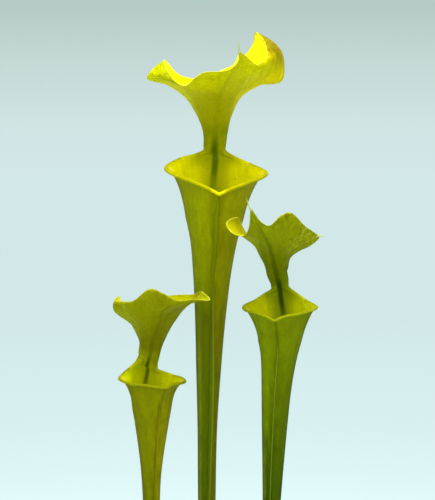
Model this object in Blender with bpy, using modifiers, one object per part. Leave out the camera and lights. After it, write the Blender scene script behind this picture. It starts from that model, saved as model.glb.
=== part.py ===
"""A yellow pitcher plant in a plain pot: three trumpet leaves on a creeping stem, in potting mix.

A leaf grew as one piece. Its hollow tube has a keel down the front and a rolled lip round the mouth, and
behind the mouth the two margins run up a column that opens into the waved lid. A leaf is worked out in
millimetres in its own frame, from the middle of its mouth: across to the right, back away from the spout,
and up.
"""
import bmesh
import bpy
import numpy as np

MM = 0.001
GAP = 0.3

# Pot: a tapered cup with a thicker band round its top and drain holes in its floor
POT_HEIGHT = 130
POT_BASE_RADIUS = 52
POT_BAND_BOTTOM = 108
POT_BAND_RADIUS = 77
POT_WALL_RADIUS = 72
POT_WALL = 4
POT_FLOOR = 6
POT_SIDES = 40
DRAIN_RADIUS = 4
DRAIN_CIRCLE = 34
DRAIN_HOLES = 4

# Potting mix: filled to a low mound
SOIL_TOP = 117.5
SOIL_MOUND = 1.5
SOIL_BUMP = 0.8
SOIL_SHARES = (0.86, 0.7, 0.54, 0.38, 0.2)

# Creeping stem: lies along X with its top just out of the mix, and is thicker under each leaf
STEM_HALF_LENGTH = 45
STEM_HALF_WIDTH = 10.5
STEM_CROWN = 2.5
STEM_CROWN_SPREAD = 9
STEM_CENTRE_UP = 106.5
STEM_BEND_REACH = 16
STEM_KNOBS = 0.7
STEM_RINGS = 21
STEM_SIDES = 16

# Leaf: wall, sockets of the feet in the stem, and mesh density
LEAF_WALL = 0.9
FOOT_UP = 104
SOCKET_CLEARANCE = 0.5
SOCKET_TOP = 127
SOCKET_SIDES = 16
LIP_COLUMNS = 10
LIP_ROWS_IN_TABLE = 7
BACK_COLUMNS = 4
ROLL_STEPS = 4
TUBE_ROWS = 9
WALL_ROWS = 4
COLUMN_ROWS = 6
LID_SPLIT = 2
LID_ROWS = 8
LID_BEND = 0.2
TUBE_DEPTH = 1.02
FRONT_RIDGE = 0.05
WALL_RISE = 0.42
WALL_FLARE = 0.32
UPRIGHT_TO = 17
FLARED_FROM = 72
SEAM_ANGLE = 176
KEEL_HALF_THICKNESS = 0.42
KEEL_LEAST = 0.2
KEEL_FULLNESS = 0.7
KEEL_SPLIT = 4
KEEL_WAVES = 9

# Margin stations, from the spout round one side to the top of the column: the angle round the tube (180 is
# the spout), the lip's flare from upright, how far the roll has grown to the column's, and the roll's turn
MARGIN = np.array([
    (180, 55, 0.0, 230), (155, 55, 0.0, 230), (128, 58, 0.0, 230), (105, 62, 0.0, 230), (88, 62, 0.0, 230),
    (70, 55, 0.02, 225), (48, 40, 0.06, 215), (30, 20, 0.15, 200), (17, 8, 0.38, 190), (8, 0, 0.7, 186),
    (4, 0, 0.9, 186), (2, 0, 1.0, 186)])

# Heights of the lid's sections, as shares of the way from the top of the column to the rim
LID_LEVELS = np.array([0, 0.2, 0.38, 0.6, 0.8, 0.9, 1.0])

# Leaf tables, in millimetres.
# margin: back, then across and up of the left margin, then of the right one, at the margin stations.
# rings: the lid's two lowest sections by their front, left, right and hind points.
# lid: place round the section (-1 and 1 meet behind, 0 is the midrib), then the belly, the curl, the rim.
# tube: up, across, back and radius, from the foot to the throat.
TALL = dict(
    name="pitcher_tall", mouth=(4.5, 20, 542), turn=0, lip_roll=1.65, column_roll=5.4, hind_bulge=2.0,
    column_bulge=0.5, keel=5.0, keel_wave=1.2,
    margin=[
        (-33, 2, -12.5, 2, -12.5), (-30, -8, -7.5, 11.5, -7.5), (-22, -19, -4, 23, -3.5),
        (-9, -31, -1, 31.5, -3.5), (1, -35.5, 2, 35.5, -1.5), (9, -33, 4.5, 32, 0), (16, -25, 7, 23.5, 3),
        (21, -16, 7.5, 14.5, 5.5), (23.5, -8.5, 9, 7.5, 9), (23, -5, 14.5, 3.5, 14.5),
        (22, -3.5, 21.5, 2, 21.5), (20.5, -3, 27.5, 2, 27.5)],
    rings=[
        ((0.5, 13, 41), (-15, 24, 41), (11.5, 24, 40.5), (-0.5, 33, 43.5)),
        ((2, 0, 53), (-22.5, 20, 51.5), (17.5, 20, 51.5), (0, 36, 52))],
    lid=[
        (-1.0, (-1.5, 36, 58), (-1.5, 32, 65), (-1, 26, 70)),
        (-0.8, (-15.5, 31, 57.5), (-17, 28, 63), (-14.5, 23, 65.5)),
        (-0.62, (-30, 20, 60.5), (-38.5, 15, 66), (-28.5, 12, 70)),
        (-0.5, (-36, 10, 62), (-49.5, 5, 66), (-37, 2, 80)),
        (-0.4, (-31, 2, 61.5), (-41.5, -3, 68.5), (-33, -8, 70.5)),
        (-0.28, (-20, -7, 59), (-24, -13.5, 62.5), (-22.5, -20.5, 62.5)),
        (-0.16, (-9, -14, 59.5), (-10, -24, 67), (-9, -30, 72.5)),
        (-0.06, (1.5, -19, 62.5), (5, -32, 71.5), (11, -40, 76)),
        (0.0, (6.5, -20, 64), (12, -35, 75.5), (16, -43, 87)),
        (0.05, (10.5, -18, 64.5), (17.5, -31, 76), (20.5, -38, 84.5)),
        (0.16, (20, -12, 65), (28.5, -22, 72), (28.5, -28, 78)),
        (0.3, (27.5, -2, 63), (39.5, -10, 72.5), (35.5, -18, 85)),
        (0.42, (29.5, 6, 60), (46, -2, 69), (33, -7, 95.5)),
        (0.5, (31, 11, 58.5), (49, 4, 68.5), (28, 2, 100)),
        (0.62, (27, 20, 59), (42, 14, 71), (26, 11, 92)),
        (0.8, (14.5, 30, 61.5), (20.5, 28, 71.5), (17.5, 22, 79)),
        (1.0, (1.5, 36, 59.5), (2, 32, 65.5), (1.5, 26, 70.5))],
    tube=[
        (-438, -4, -14, 3.6), (-402, -4, -11, 4.0), (-352, -5, -6, 4.6), (-297, -6.5, -2, 5.3),
        (-245, -7, 0, 6.1), (-185, -6.5, 0.5, 7.0), (-149, -5, 1, 8.5), (-102, -3.5, 0.5, 11.2),
        (-72, -2.5, 0.5, 14.0), (-48, -1.5, 0, 17.8), (-34, -0.5, 0, 21.1)])

LEFT = dict(
    name="pitcher_left", mouth=(-41, -27, 398), turn=22, lip_roll=1.2, column_roll=5.0, hind_bulge=1.4,
    column_bulge=0.4, keel=3.5, keel_wave=0.8,
    margin=[
        (-22, 2.5, -1.5, 2.5, -1.5), (-19.5, -3.5, -1, 8, 0), (-14, -11, 0, 14.5, -1),
        (-5.5, -18.5, 0, 21.5, -2.5), (2, -23.5, 2, 25.5, -3), (8, -19, 4, 25, -2.5),
        (12, -12.5, 6.5, 20, -1.5), (14.5, -7, 8, 14.5, 0), (15.5, -3, 9, 10, 2), (16, 1.5, 11, 7.5, 6.5),
        (15.5, 3, 14.5, 7, 12), (14.5, 3.5, 19, 7.5, 18)],
    rings=[
        ((5, 9, 27), (-4, 17, 27), (17, 17, 25), (7, 23.5, 27.5)),
        ((5, -2, 38.5), (-11, 14, 36.5), (21, 14, 35), (8, 24, 35))],
    lid=[
        (-1.0, (6.5, 23, 41.5), (5, 21, 47), (3, 18, 52)),
        (-0.8, (-2, 19, 42.5), (-7.5, 17, 49), (-7, 14, 52.5)),
        (-0.62, (-11, 13, 42.5), (-20, 9, 50), (-20.5, 6, 56.5)),
        (-0.54, (-14, 10, 42.5), (-24.5, 6, 51), (-23.5, 4, 61)),
        (-0.48, (-15.5, 8, 42.5), (-27.5, 4, 50.5), (-26.5, 1, 58.5)),
        (-0.4, (-15, 2, 44), (-24.5, -4, 52.5), (-23, -6, 58.5)),
        (-0.32, (-12, -4, 46), (-19, -12, 55.5), (-18.5, -14, 60)),
        (-0.22, (-7, -9, 49), (-11, -19, 60.5), (-9, -22, 69)),
        (-0.14, (-3, -12, 49.5), (-3, -25, 60.5), (-1, -29, 66)),
        (-0.07, (1, -14, 50), (6, -30, 57.5), (8.5, -34, 61)),
        (0.0, (6, -14, 49.5), (16, -30, 58), (27, -40, 60.5)),
        (0.07, (11, -11, 48.5), (20.5, -25, 58), (25, -34, 66.5)),
        (0.16, (16.5, -7, 47.5), (22, -18, 56.5), (22.5, -24, 63.5)),
        (0.28, (20, -1, 45.5), (23, -8, 54), (20, -12, 61.5)),
        (0.44, (21.5, 7, 43), (21.5, 3, 51.5), (17.5, 0, 59.5)),
        (0.62, (18.5, 14.5, 40.5), (18.5, 12.5, 49), (13.5, 11, 57)),
        (0.82, (13, 20.5, 40.5), (12.5, 19, 47.5), (8.5, 16, 53)),
        (1.0, (9.5, 23.5, 41.5), (8, 21.5, 47), (6.5, 18.5, 51.5))],
    tube=[
        (-294, 20.5, 15.5, 3.2), (-258, 15.5, 13, 3.4), (-208, 9, 8.5, 3.9), (-148, 3, 3, 4.6),
        (-88, 0, 0, 5.7), (-72, 0, 0, 6.5), (-56, 0, 0, 8.1), (-40, 0, 0, 10.4), (-29, 0.5, 0, 12.3),
        (-23, 0.5, 0, 13.6)])

RIGHT = dict(
    name="pitcher_right", mouth=(49.5, -30, 450.5), turn=-8, lip_roll=1.2, column_roll=4.7, hind_bulge=1.5,
    column_bulge=0.4, keel=3.5, keel_wave=0.8,
    margin=[
        (-25, -1, -5, -1, -5), (-23, -8, -2, 5.5, -2), (-16, -16.5, -1, 13.5, -1.5),
        (-6, -23, -1.5, 20.5, -1), (1, -26, -0.5, 25.5, 0.5), (8, -24.5, 0.5, 22.5, 1.5),
        (13, -18.5, 2.5, 16, 3.5), (16.5, -12.5, 5, 9, 6), (18, -7.5, 7, 3, 8.5), (18, -5, 11.5, 0, 12),
        (17, -4.5, 15.5, -1, 16), (15.5, -5, 19.5, -1.5, 20)],
    rings=[
        ((-5, 9.5, 28), (-13.5, 17.5, 27), (3, 17.5, 25.5), (-6, 25, 26)),
        ((-6, 1, 37), (-16.5, 15, 34.5), (5.5, 15.5, 32.5), (-6, 26, 32))],
    lid=[
        (-1.0, (-9, 25, 37.5), (-11.5, 22, 41.5), (-14, 19, 44)),
        (-0.84, (-15, 21, 39), (-21, 18, 44), (-25, 15, 49.5)),
        (-0.72, (-16.5, 16.5, 40.5), (-26, 13, 48), (-29, 11, 57.5)),
        (-0.62, (-16.5, 12, 42), (-29, 9, 51), (-31, 7, 62.5)),
        (-0.48, (-16.5, 6, 44), (-30.5, 1, 52.5), (-38, -3, 59.5)),
        (-0.36, (-16, 0, 45.5), (-26.5, -8, 52), (-33, -12, 54)),
        (-0.22, (-14, -7, 47.5), (-19.5, -16, 52.5), (-22.5, -23, 53.5)),
        (-0.09, (-10.5, -12, 47.5), (-14.5, -23, 58), (-18, -31, 62.5)),
        (0.0, (-7.5, -14, 48.5), (-11.5, -26, 60), (-16.5, -35, 73.5)),
        (0.09, (-5.5, -13, 48.5), (-7.5, -23, 58.5), (-12, -30, 65.5)),
        (0.2, (-2, -10, 48.5), (-2.5, -18, 57), (-5, -24, 61)),
        (0.3, (1, -6, 47.5), (3.5, -13, 59.5), (2.5, -17, 67.5)),
        (0.38, (5.5, -2, 46), (11, -7, 58), (8.5, -11, 68.5)),
        (0.47, (9, 4, 41.5), (17, 0, 51), (16.5, -4, 59.5)),
        (0.56, (10.5, 9, 38), (21, 5.5, 44), (26.5, 3, 51)),
        (0.74, (3, 20, 38), (8.5, 17, 41.5), (12.5, 14, 47)),
        (1.0, (-6.5, 25.5, 37.5), (-9.5, 22.5, 41.5), (-12, 19.5, 44))],
    tube=[
        (-346.5, -24, 22, 3.3), (-310.5, -20.5, 18.5, 3.6), (-260.5, -15, 11, 4.2), (-200.5, -9, 3, 5.0),
        (-140, -6, -1, 6.2), (-112.5, -5, -0.5, 7.1), (-81.5, -4, -0.5, 8.6), (-61.5, -3, -0.5, 10.1),
        (-41, -1.5, 0, 12.1), (-31.5, -0.5, 0, 13.8), (-24.5, -0.5, 0, 15.4)])

LEAVES = (TALL, LEFT, RIGHT)


def unit(vectors):
    return vectors / np.linalg.norm(vectors, axis=-1, keepdims=True)


def smooth(knots, values, at):
    """Cubic through the values at the knots, sloped there as the mean of the two chords by nearness."""
    values = np.asarray(values, float)
    step = np.diff(knots)[:, None]
    chord = np.diff(values, axis=0) / step
    slope = np.empty_like(values)
    slope[1:-1] = (chord[:-1] * step[1:] + chord[1:] * step[:-1]) / (step[:-1] + step[1:])
    slope[0] = 1.5 * chord[0] - 0.5 * slope[1]
    slope[-1] = 1.5 * chord[-1] - 0.5 * slope[-2]
    i = np.clip(np.searchsorted(knots, at, side="right") - 1, 0, len(knots) - 2)
    h = step[i]
    t = (np.asarray(at) - knots[i])[:, None] / h
    return ((1 + 2 * t) * (1 - t) ** 2 * values[i] + t * (1 - t) ** 2 * h * slope[i]
            + t * t * (3 - 2 * t) * values[i + 1] - t * t * (1 - t) * h * slope[i + 1])


def margin_path(leaf, side):
    """Line where one margin starts to roll (side -1 left, 1 right), and the roll's frame, radius and turn."""
    rows = np.array(leaf["margin"], float)
    across_up = rows[:, 1:3] if side < 0 else rows[:, 3:5]
    angle, flare, grown, turn = MARGIN.T
    radius = leaf["lip_roll"] + (leaf["column_roll"] - leaf["lip_roll"]) * grown
    table = np.column_stack([across_up[:, 0], rows[:, 0], across_up[:, 1], angle, flare, radius, turn])
    knots = np.arange(len(table))
    at = np.concatenate([np.linspace(0, LIP_ROWS_IN_TABLE, LIP_COLUMNS + 1),
                         np.linspace(LIP_ROWS_IN_TABLE, knots[-1], COLUMN_ROWS + 1)[1:]])
    found = smooth(knots, table, at)
    nudge = 0.001
    ahead = smooth(knots, table, np.minimum(at + nudge, knots[-1]))
    behind = smooth(knots, table, np.maximum(at - nudge, 0))
    tangent = unit((ahead - behind)[:, :3])
    phi, beta = np.radians(found[:, 3]), np.radians(found[:, 4])
    out = np.stack([side * np.sin(phi) * np.cos(beta), np.cos(phi) * np.cos(beta), -np.sin(beta)], 1)
    edge = unit(side * np.cross(out, tangent))
    out = unit(side * np.cross(tangent, edge))
    # both sides share the spout, so the frame there lies in the leaf's middle plane
    edge[0] = (0, -np.sin(beta[0]), np.cos(beta[0]))
    out[0] = (0, -np.cos(beta[0]), -np.sin(beta[0]))
    return dict(line=found[:, :3], edge=edge, out=out, angle=phi, radius=found[:, 5],
                turn=np.radians(found[:, 6]))


def roll(path):
    """Rolled margin: an arc of the roll's radius that leaves the line along the sheet and curls outward."""
    g = path["turn"][:, None, None] * np.linspace(0, 1, ROLL_STEPS + 1)[None, :, None]
    r = path["radius"][:, None, None]
    line, edge, out = (path[name][:, None] for name in ("line", "edge", "out"))
    return line + r * (np.sin(g) * edge + (1 - np.cos(g)) * out)


def ring(quarters, place):
    """Section through its front, left, right and hind points: sine and cosine shares of the four arms."""
    front, left, right, hind = np.array(quarters, float)
    middle = (left + right) / 2
    omega = np.radians(SEAM_ANGLE) * place
    s, c = np.sin(omega)[:, None], np.cos(omega)[:, None]
    return (middle + np.abs(s) * (np.where(s < 0, left, right) - middle)
            + np.abs(c) * (np.where(c > 0, front, hind) - middle))


def tube_sections(leaf, up, angle):
    """Sections of the tube at the given heights: circles by the tube table, with a low ridge in front."""
    stations = np.array(leaf["tube"], float)
    across, back, radius = smooth(stations[:, 0], stations[:, 1:], up).T
    s, c = np.sin(angle), np.cos(angle)
    deep = TUBE_DEPTH * (1 + FRONT_RIDGE * np.clip(-c, 0, 1) ** 12)
    return np.stack([across[:, None] + radius[:, None] * s, back[:, None] + radius[:, None] * c * deep,
                     np.repeat(up[:, None], len(angle), 1)], -1)


def body_grid(leaf, left, right, share):
    """Tube and throat wall: rows up from foot to margins, columns from the spout round by the left."""
    k = LIP_COLUMNS
    hind = left["line"][k] * (1 - share) + right["line"][k] * share
    hind[:, 1] += leaf["hind_bulge"] * (4 * share * (1 - share))[:, 0]
    hind_angle = -left["angle"][k] * (1 - share[:, 0]) + right["angle"][k] * share[:, 0]
    upright = np.array((0.0, 0.0, 1.0))
    top = np.concatenate([left["line"][:k], hind, right["line"][k - 1:0:-1]])
    angle = np.concatenate([-left["angle"][:k], hind_angle, right["angle"][k - 1:0:-1]])
    end = np.concatenate([left["edge"][:k], [upright] * len(share), right["edge"][k - 1:0:-1]])
    # near the column the wall rises straight, and farther round it follows the lip's own flare
    far = np.clip((np.degrees(np.abs(angle)) - UPRIGHT_TO) / (FLARED_FROM - UPRIGHT_TO), 0, 1)[:, None]
    far = far * far * (3 - 2 * far)
    end = unit(end * far + upright * (1 - far))
    up = np.linspace(leaf["tube"][0][0], leaf["tube"][-1][0], TUBE_ROWS + 1)
    tube = tube_sections(leaf, up, angle)
    start = tube[-1]
    reach = np.linalg.norm(top - start, axis=-1, keepdims=True)
    p1 = start + unit(tube[-1] - tube[-2]) * reach * WALL_RISE
    p2 = top - end * reach * WALL_FLARE
    t = np.linspace(0, 1, WALL_ROWS + 1)[1:, None, None]
    wall = (1 - t) ** 3 * start + 3 * (1 - t) ** 2 * t * p1 + 3 * (1 - t) * t * t * p2 + t ** 3 * top
    return np.concatenate([tube, wall])


def column_grid(leaf, left, right, share):
    """Front face of the column: straight from the left margin to the right one, with a slight bulge."""
    k = LIP_COLUMNS
    grid = left["line"][k:, None] * (1 - share) + right["line"][k:, None] * share
    way = np.linspace(0, 1, COLUMN_ROWS + 1)
    bulge = leaf["hind_bulge"] * (1 - way) ** 2 - leaf["column_bulge"] * way
    grid[..., 1] += bulge[:, None] * (4 * share * (1 - share))[:, 0]
    return grid


def section_places(section):
    """Place of each point of the column's top section, from -1 to 1 by its length, with 0 at the midrib."""
    arc = np.concatenate([[0], np.cumsum(np.linalg.norm(np.diff(section, axis=0), axis=1))])
    middle = arc[ROLL_STEPS + BACK_COLUMNS // 2]
    return np.where(arc < middle, (arc - middle) / middle, (arc - middle) / (arc[-1] - middle))


def lid_grid(leaf, section, below):
    """Lid: a smooth loft from the column's top through rings, belly, curl and a bent row to the rim."""
    table = np.array([(row[0], *row[1], *row[2], *row[3]) for row in leaf["lid"]])
    split = np.linspace(0, len(table) - 1, (len(table) - 1) * LID_SPLIT + 1)
    place = np.interp(split, np.arange(len(table)), table[:, 0])
    belly, curl, rim = (smooth(table[:, 0], table[:, i:i + 3], place) for i in (1, 4, 7))
    rise, lean = (np.linalg.norm(b - a, axis=1, keepdims=True) for a, b in ((belly, curl), (curl, rim)))
    bend = (curl + rim) / 2 + LID_BEND * (curl - belly) * np.minimum(1, lean / rise)
    foot, under = (np.stack([np.interp(place, section_places(section), row[:, i]) for i in range(3)], 1)
                   for row in (section, below))
    rings = [ring(quarters, place) for quarters in leaf["rings"]]
    controls = np.stack([under, foot, *rings, belly, curl, bend, rim])
    # the row under the foot is only there to give the loft the column's slope
    short, first = (np.linalg.norm(controls[i + 1] - controls[i], axis=1).mean() for i in (0, 1))
    levels = np.concatenate([[-LID_LEVELS[1] * short / first], LID_LEVELS])
    found = smooth(levels, controls.reshape(len(controls), -1), np.linspace(0, 1, LID_ROWS + 1))
    return place, found.reshape(-1, len(place), 3)


def leaf_sheet(leaf):
    """Middle surface of a leaf as points and outward triangles, and the grid of its tube and wall."""
    left, right = margin_path(leaf, -1), margin_path(leaf, 1)
    share = np.linspace(0, 1, BACK_COLUMNS + 1)[:, None]
    body = body_grid(leaf, left, right, share)
    column = column_grid(leaf, left, right, share)
    left_roll, right_roll = roll(left), roll(right)
    section, below = (np.concatenate([left_roll[i][::-1], column[i][1:-1], right_roll[i]])
                      for i in (-1, -2))
    place, lid = lid_grid(leaf, section, below)

    blocks = []
    faces = []

    def add(block):
        first = sum(len(b) for b in blocks)
        blocks.append(block.reshape(-1, 3))
        return first + np.arange(len(blocks[-1])).reshape(block.shape[:-1])

    def join(ids):
        """Two triangles for each cell of a grid of point numbers."""
        a, b, c, d = ids[:-1, :-1], ids[:-1, 1:], ids[1:, 1:], ids[1:, :-1]
        faces.extend([np.stack([a, b, c], -1).reshape(-1, 3), np.stack([a, c, d], -1).reshape(-1, 3)])

    k = LIP_COLUMNS
    body_ids = add(body)
    around = np.concatenate([body_ids, body_ids[:, :1]], 1)
    join(around)
    pole = add(body[0].mean(0)[None])[0]
    faces.append(np.stack([around[0, 1:], around[0, :-1], np.full(len(around[0]) - 1, pole)], -1))
    column_ids = np.concatenate([body_ids[-1, k:k + BACK_COLUMNS + 1][None], add(column[1:])])
    join(column_ids)
    left_line = np.concatenate([body_ids[-1, :k + 1], column_ids[1:, 0]])
    left_ids = np.concatenate([left_line[:, None], add(left_roll[:, 1:])], 1)
    join(left_ids[:, ::-1])
    right_line = np.concatenate([body_ids[-1, :1], body_ids[-1, ::-1][:k], column_ids[1:, -1]])
    right_ids = np.concatenate([left_ids[:1, 1:], add(right_roll[1:, 1:])])
    join(np.concatenate([right_line[:, None], right_ids], 1))
    lid_ids = add(lid[1:])
    join(lid_ids)
    # the column's top section and the lid's first row have different counts, so they are zipped by place
    top_ids = np.concatenate([left_ids[-1, ::-1], column_ids[-1, 1:-1], right_line[-1:], right_ids[-1]])
    top_place = section_places(section)
    i = j = 0
    strip = []
    while i < len(top_ids) - 1 or j < len(place) - 1:
        by_top = j == len(place) - 1 or (i < len(top_ids) - 1 and top_place[i] + top_place[i + 1]
                                         < place[j] + place[j + 1])
        third = top_ids[i + 1] if by_top else lid_ids[0, j + 1]
        strip.append((top_ids[i], third, lid_ids[0, j]))
        i, j = (i + 1, j) if by_top else (i, j + 1)
    faces.append(np.array(strip))
    return np.concatenate(blocks), np.concatenate(faces), body


def placed(points, leaf):
    """Points of a leaf in the plant's frame: turned about the upright, then moved to the mouth's place."""
    turn = np.radians(leaf["turn"])
    c, s = np.cos(turn), np.sin(turn)
    turned = np.stack([points[..., 0] * c - points[..., 1] * s, points[..., 0] * s + points[..., 1] * c,
                       points[..., 2]], -1)
    return turned + np.array(leaf["mouth"], float)


def clear_scene():
    for item in list(bpy.data.objects):
        bpy.data.objects.remove(item, do_unlink=True)


def new_collection(name):
    collection = bpy.data.collections.new(name)
    bpy.context.scene.collection.children.link(collection)
    return collection


def new_material(name, colour, roughness):
    material = bpy.data.materials.new(name)
    material.use_nodes = True
    shader = material.node_tree.nodes["Principled BSDF"]
    shader.inputs["Base Color"].default_value = (*colour, 1)
    shader.inputs["Roughness"].default_value = roughness
    shader.inputs["Metallic"].default_value = 0
    return material


def new_object(name, points, faces, collection, material=None):
    """Mesh object from points in millimetres."""
    mesh = bpy.data.meshes.new(name)
    mesh.from_pydata((np.asarray(points) * MM).tolist(), [], np.asarray(faces).tolist())
    mesh.shade_smooth()
    item = bpy.data.objects.new(name, mesh)
    collection.objects.link(item)
    if material:
        mesh.materials.append(material)
    return item


def loft(rings):
    """Closed surface through rings of equal count, each end closed to a pole in its ring's middle."""
    rings = np.asarray(rings, float)
    count = rings.shape[1]
    points = np.concatenate([rings.reshape(-1, 3), rings[0].mean(0)[None], rings[-1].mean(0)[None]])
    ids = np.arange(rings.shape[0] * count).reshape(-1, count)
    around = np.concatenate([ids, ids[:, :1]], 1)
    a, b, c, d = around[:-1, :-1], around[:-1, 1:], around[1:, 1:], around[1:, :-1]
    first, last = np.full(count, ids.size), np.full(count, ids.size + 1)
    faces = np.concatenate([np.stack([a, b, c], -1).reshape(-1, 3), np.stack([a, c, d], -1).reshape(-1, 3),
                            np.stack([around[0, 1:], around[0, :-1], first], -1),
                            np.stack([around[-1, :-1], around[-1, 1:], last], -1)])
    return points, faces


def face_out(item):
    """Turns a closed mesh's faces outward."""
    mesh = bmesh.new()
    mesh.from_mesh(item.data)
    bmesh.ops.recalc_face_normals(mesh, faces=mesh.faces)
    mesh.to_mesh(item.data)
    mesh.free()


def as_tool(item):
    item.hide_render = True
    item.display_type = "WIRE"
    face_out(item)
    return item


def combine(item, tool, operation):
    boolean = item.modifiers.new(tool.name, "BOOLEAN")
    boolean.operation = operation
    boolean.object = tool
    boolean.solver = "EXACT"


def keel_blade(leaf, body):
    """Thin blade down the tube's front: its root runs inside the wall, and its edge stands out, waved."""
    front = body[1:-2, 0]
    rows = np.arange(len(front))
    fine = np.linspace(0, rows[-1], rows[-1] * KEEL_SPLIT + 1)
    root = np.stack([np.interp(fine, rows, front[:, i]) for i in range(3)], 1)
    way = fine / fine[-1]
    reach = leaf["keel"] * np.sin(np.pi * way) ** KEEL_FULLNESS + KEEL_LEAST
    wave = leaf["keel_wave"] * np.sin(np.pi * way) * np.sin(KEEL_WAVES * way)
    edge = root + np.stack([wave, -reach, np.zeros_like(wave)], 1)
    aside = np.array((KEEL_HALF_THICKNESS, 0, 0))
    rings = np.stack([root - aside, root + aside, edge + aside, edge - aside], 1)
    return loft(placed(rings, leaf))


def foot_hole(leaf):
    """Plain hole that a leaf's foot stands in: a solid that follows the tube with a little room."""
    bottom = FOOT_UP - LEAF_WALL / 2 - GAP - leaf["mouth"][2]
    up = np.linspace(FOOT_UP, SOCKET_TOP, 6) - leaf["mouth"][2]
    angle = np.arange(SOCKET_SIDES) * 2 * np.pi / SOCKET_SIDES
    rings = tube_sections(leaf, up, angle)
    middle = rings.mean(1, keepdims=True)
    room = LEAF_WALL / 2 + SOCKET_CLEARANCE
    rings = rings + unit(rings - middle) * room
    floor = rings[:1].copy()
    floor[..., 2] = bottom
    return loft(placed(np.concatenate([floor, rings]), leaf))


def stem_rings(room=0):
    """Rings of the creeping stem along X: a bent, knobbly rod with round ends, thicker under each leaf."""
    x = STEM_HALF_LENGTH * np.sin(np.linspace(-1, 1, STEM_RINGS) * np.pi / 2 * 0.96)
    feet = [placed(np.array(leaf["tube"][0][1:3] + (0,), float), leaf) for leaf in LEAVES]
    crowns = sum(np.exp(-((x - foot[0]) / STEM_CROWN_SPREAD) ** 2) for foot in feet)
    hind, near = feet[0][1], (feet[1][1] + feet[2][1]) / 2
    middle = near + (hind - near) / (1 + (x / STEM_BEND_REACH) ** 4)
    ends = np.sqrt(1 - (x / (STEM_HALF_LENGTH * 1.02)) ** 4)
    half = (STEM_HALF_WIDTH + STEM_CROWN * crowns) * ends
    angle = np.arange(STEM_SIDES) * 2 * np.pi / STEM_SIDES
    upper = np.clip(np.sin(angle), 0, 1)
    bumps = STEM_KNOBS * upper * np.sin(x[:, None] * 0.55) * np.sin(2 * angle + 0.8)
    radius = half[:, None] + bumps + room
    along = x * (1 + room / STEM_HALF_LENGTH)
    return np.stack([np.repeat(along[:, None], STEM_SIDES, 1),
                     middle[:, None] + radius * np.cos(angle), STEM_CENTRE_UP + radius * np.sin(angle)], -1)


def pot_inside(up):
    slope = (POT_WALL_RADIUS - POT_BASE_RADIUS) / POT_BAND_BOTTOM
    return POT_BASE_RADIUS + slope * up - POT_WALL


def make_pot(collection, tools, material):
    """Turned cup: the profile runs over the floor, up the inside, over the band and down the outside."""
    wall, band, top = POT_WALL_RADIUS, POT_BAND_RADIUS, POT_HEIGHT
    profile = [
        (0, POT_FLOOR), (pot_inside(POT_FLOOR) - 2, POT_FLOOR), (pot_inside(POT_FLOOR + 2), POT_FLOOR + 2),
        (pot_inside(top - 2.5), top - 2.5), (pot_inside(top - 2.5) + 0.8, top - 0.6),
        (pot_inside(top - 2.5) + 2, top), (band - 1.2, top), (band, top - 1), (band + 0.3, top - 2.5),
        (band - 0.4, POT_BAND_BOTTOM + 1.5), (band - 1.2, POT_BAND_BOTTOM), (wall, POT_BAND_BOTTOM),
        (POT_BASE_RADIUS + 0.4, 2), (POT_BASE_RADIUS - 1, 0.5), (POT_BASE_RADIUS - 2.5, 0), (0, 0)]
    mesh = bpy.data.meshes.new("pot")
    edges = [(i, i + 1) for i in range(len(profile) - 1)]
    mesh.from_pydata([(r * MM, 0, z * MM) for r, z in profile], edges, [])
    mesh.materials.append(material)
    pot = bpy.data.objects.new("pot", mesh)
    collection.objects.link(pot)
    screw = pot.modifiers.new("turned", "SCREW")
    screw.steps = screw.render_steps = POT_SIDES
    screw.use_merge_vertices = True
    screw.merge_threshold = 0.00005
    screw.use_smooth_shade = True
    for i in range(DRAIN_HOLES):
        turn = (i + 0.5) * 2 * np.pi / DRAIN_HOLES
        bpy.ops.mesh.primitive_cylinder_add(
            vertices=12, radius=DRAIN_RADIUS * MM, depth=3 * POT_FLOOR * MM,
            location=(DRAIN_CIRCLE * MM * np.cos(turn), DRAIN_CIRCLE * MM * np.sin(turn), 0))
        drill = bpy.context.object
        drill.name = f"drain_{i}"
        for home in list(drill.users_collection):
            home.objects.unlink(drill)
        tools.objects.link(drill)
        combine(pot, as_tool(drill), "DIFFERENCE")


def soil_rings():
    """Rings of the mix: its floor and flank a little inside the pot, then a low, uneven mound."""
    angle = np.arange(POT_SIDES) * 2 * np.pi / POT_SIDES
    edge = pot_inside(SOIL_TOP) - GAP
    flank = [(pot_inside(POT_FLOOR) - 2.6, POT_FLOOR + GAP),
             (pot_inside(POT_FLOOR + 2.4) - GAP, POT_FLOOR + 2.6), (edge, SOIL_TOP)]
    rings = [(r, np.full(POT_SIDES, float(z))) for r, z in flank]
    for share in SOIL_SHARES:
        r = edge * share
        x, y = r * np.cos(angle), r * np.sin(angle)
        bumps = np.sin(x * 0.21 + 1) * np.sin(y * 0.27) + 0.6 * np.sin(x * 0.43 + y * 0.31)
        rings.append((r, SOIL_TOP + SOIL_MOUND * (1 - share) + SOIL_BUMP * bumps))
    return [np.stack([r * np.cos(angle), r * np.sin(angle), up], 1) for r, up in rings]


def make_leaf(leaf, collection, tools, material):
    points, faces, body = leaf_sheet(leaf)
    item = new_object(leaf["name"], placed(points, leaf), faces, collection, material)
    wall = item.modifiers.new("wall", "SOLIDIFY")
    wall.thickness = LEAF_WALL * MM
    wall.offset = 0
    wall.use_quality_normals = True
    keel = as_tool(new_object(leaf["name"] + "_keel", *keel_blade(leaf, body), tools))
    combine(item, keel, "UNION")


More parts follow.
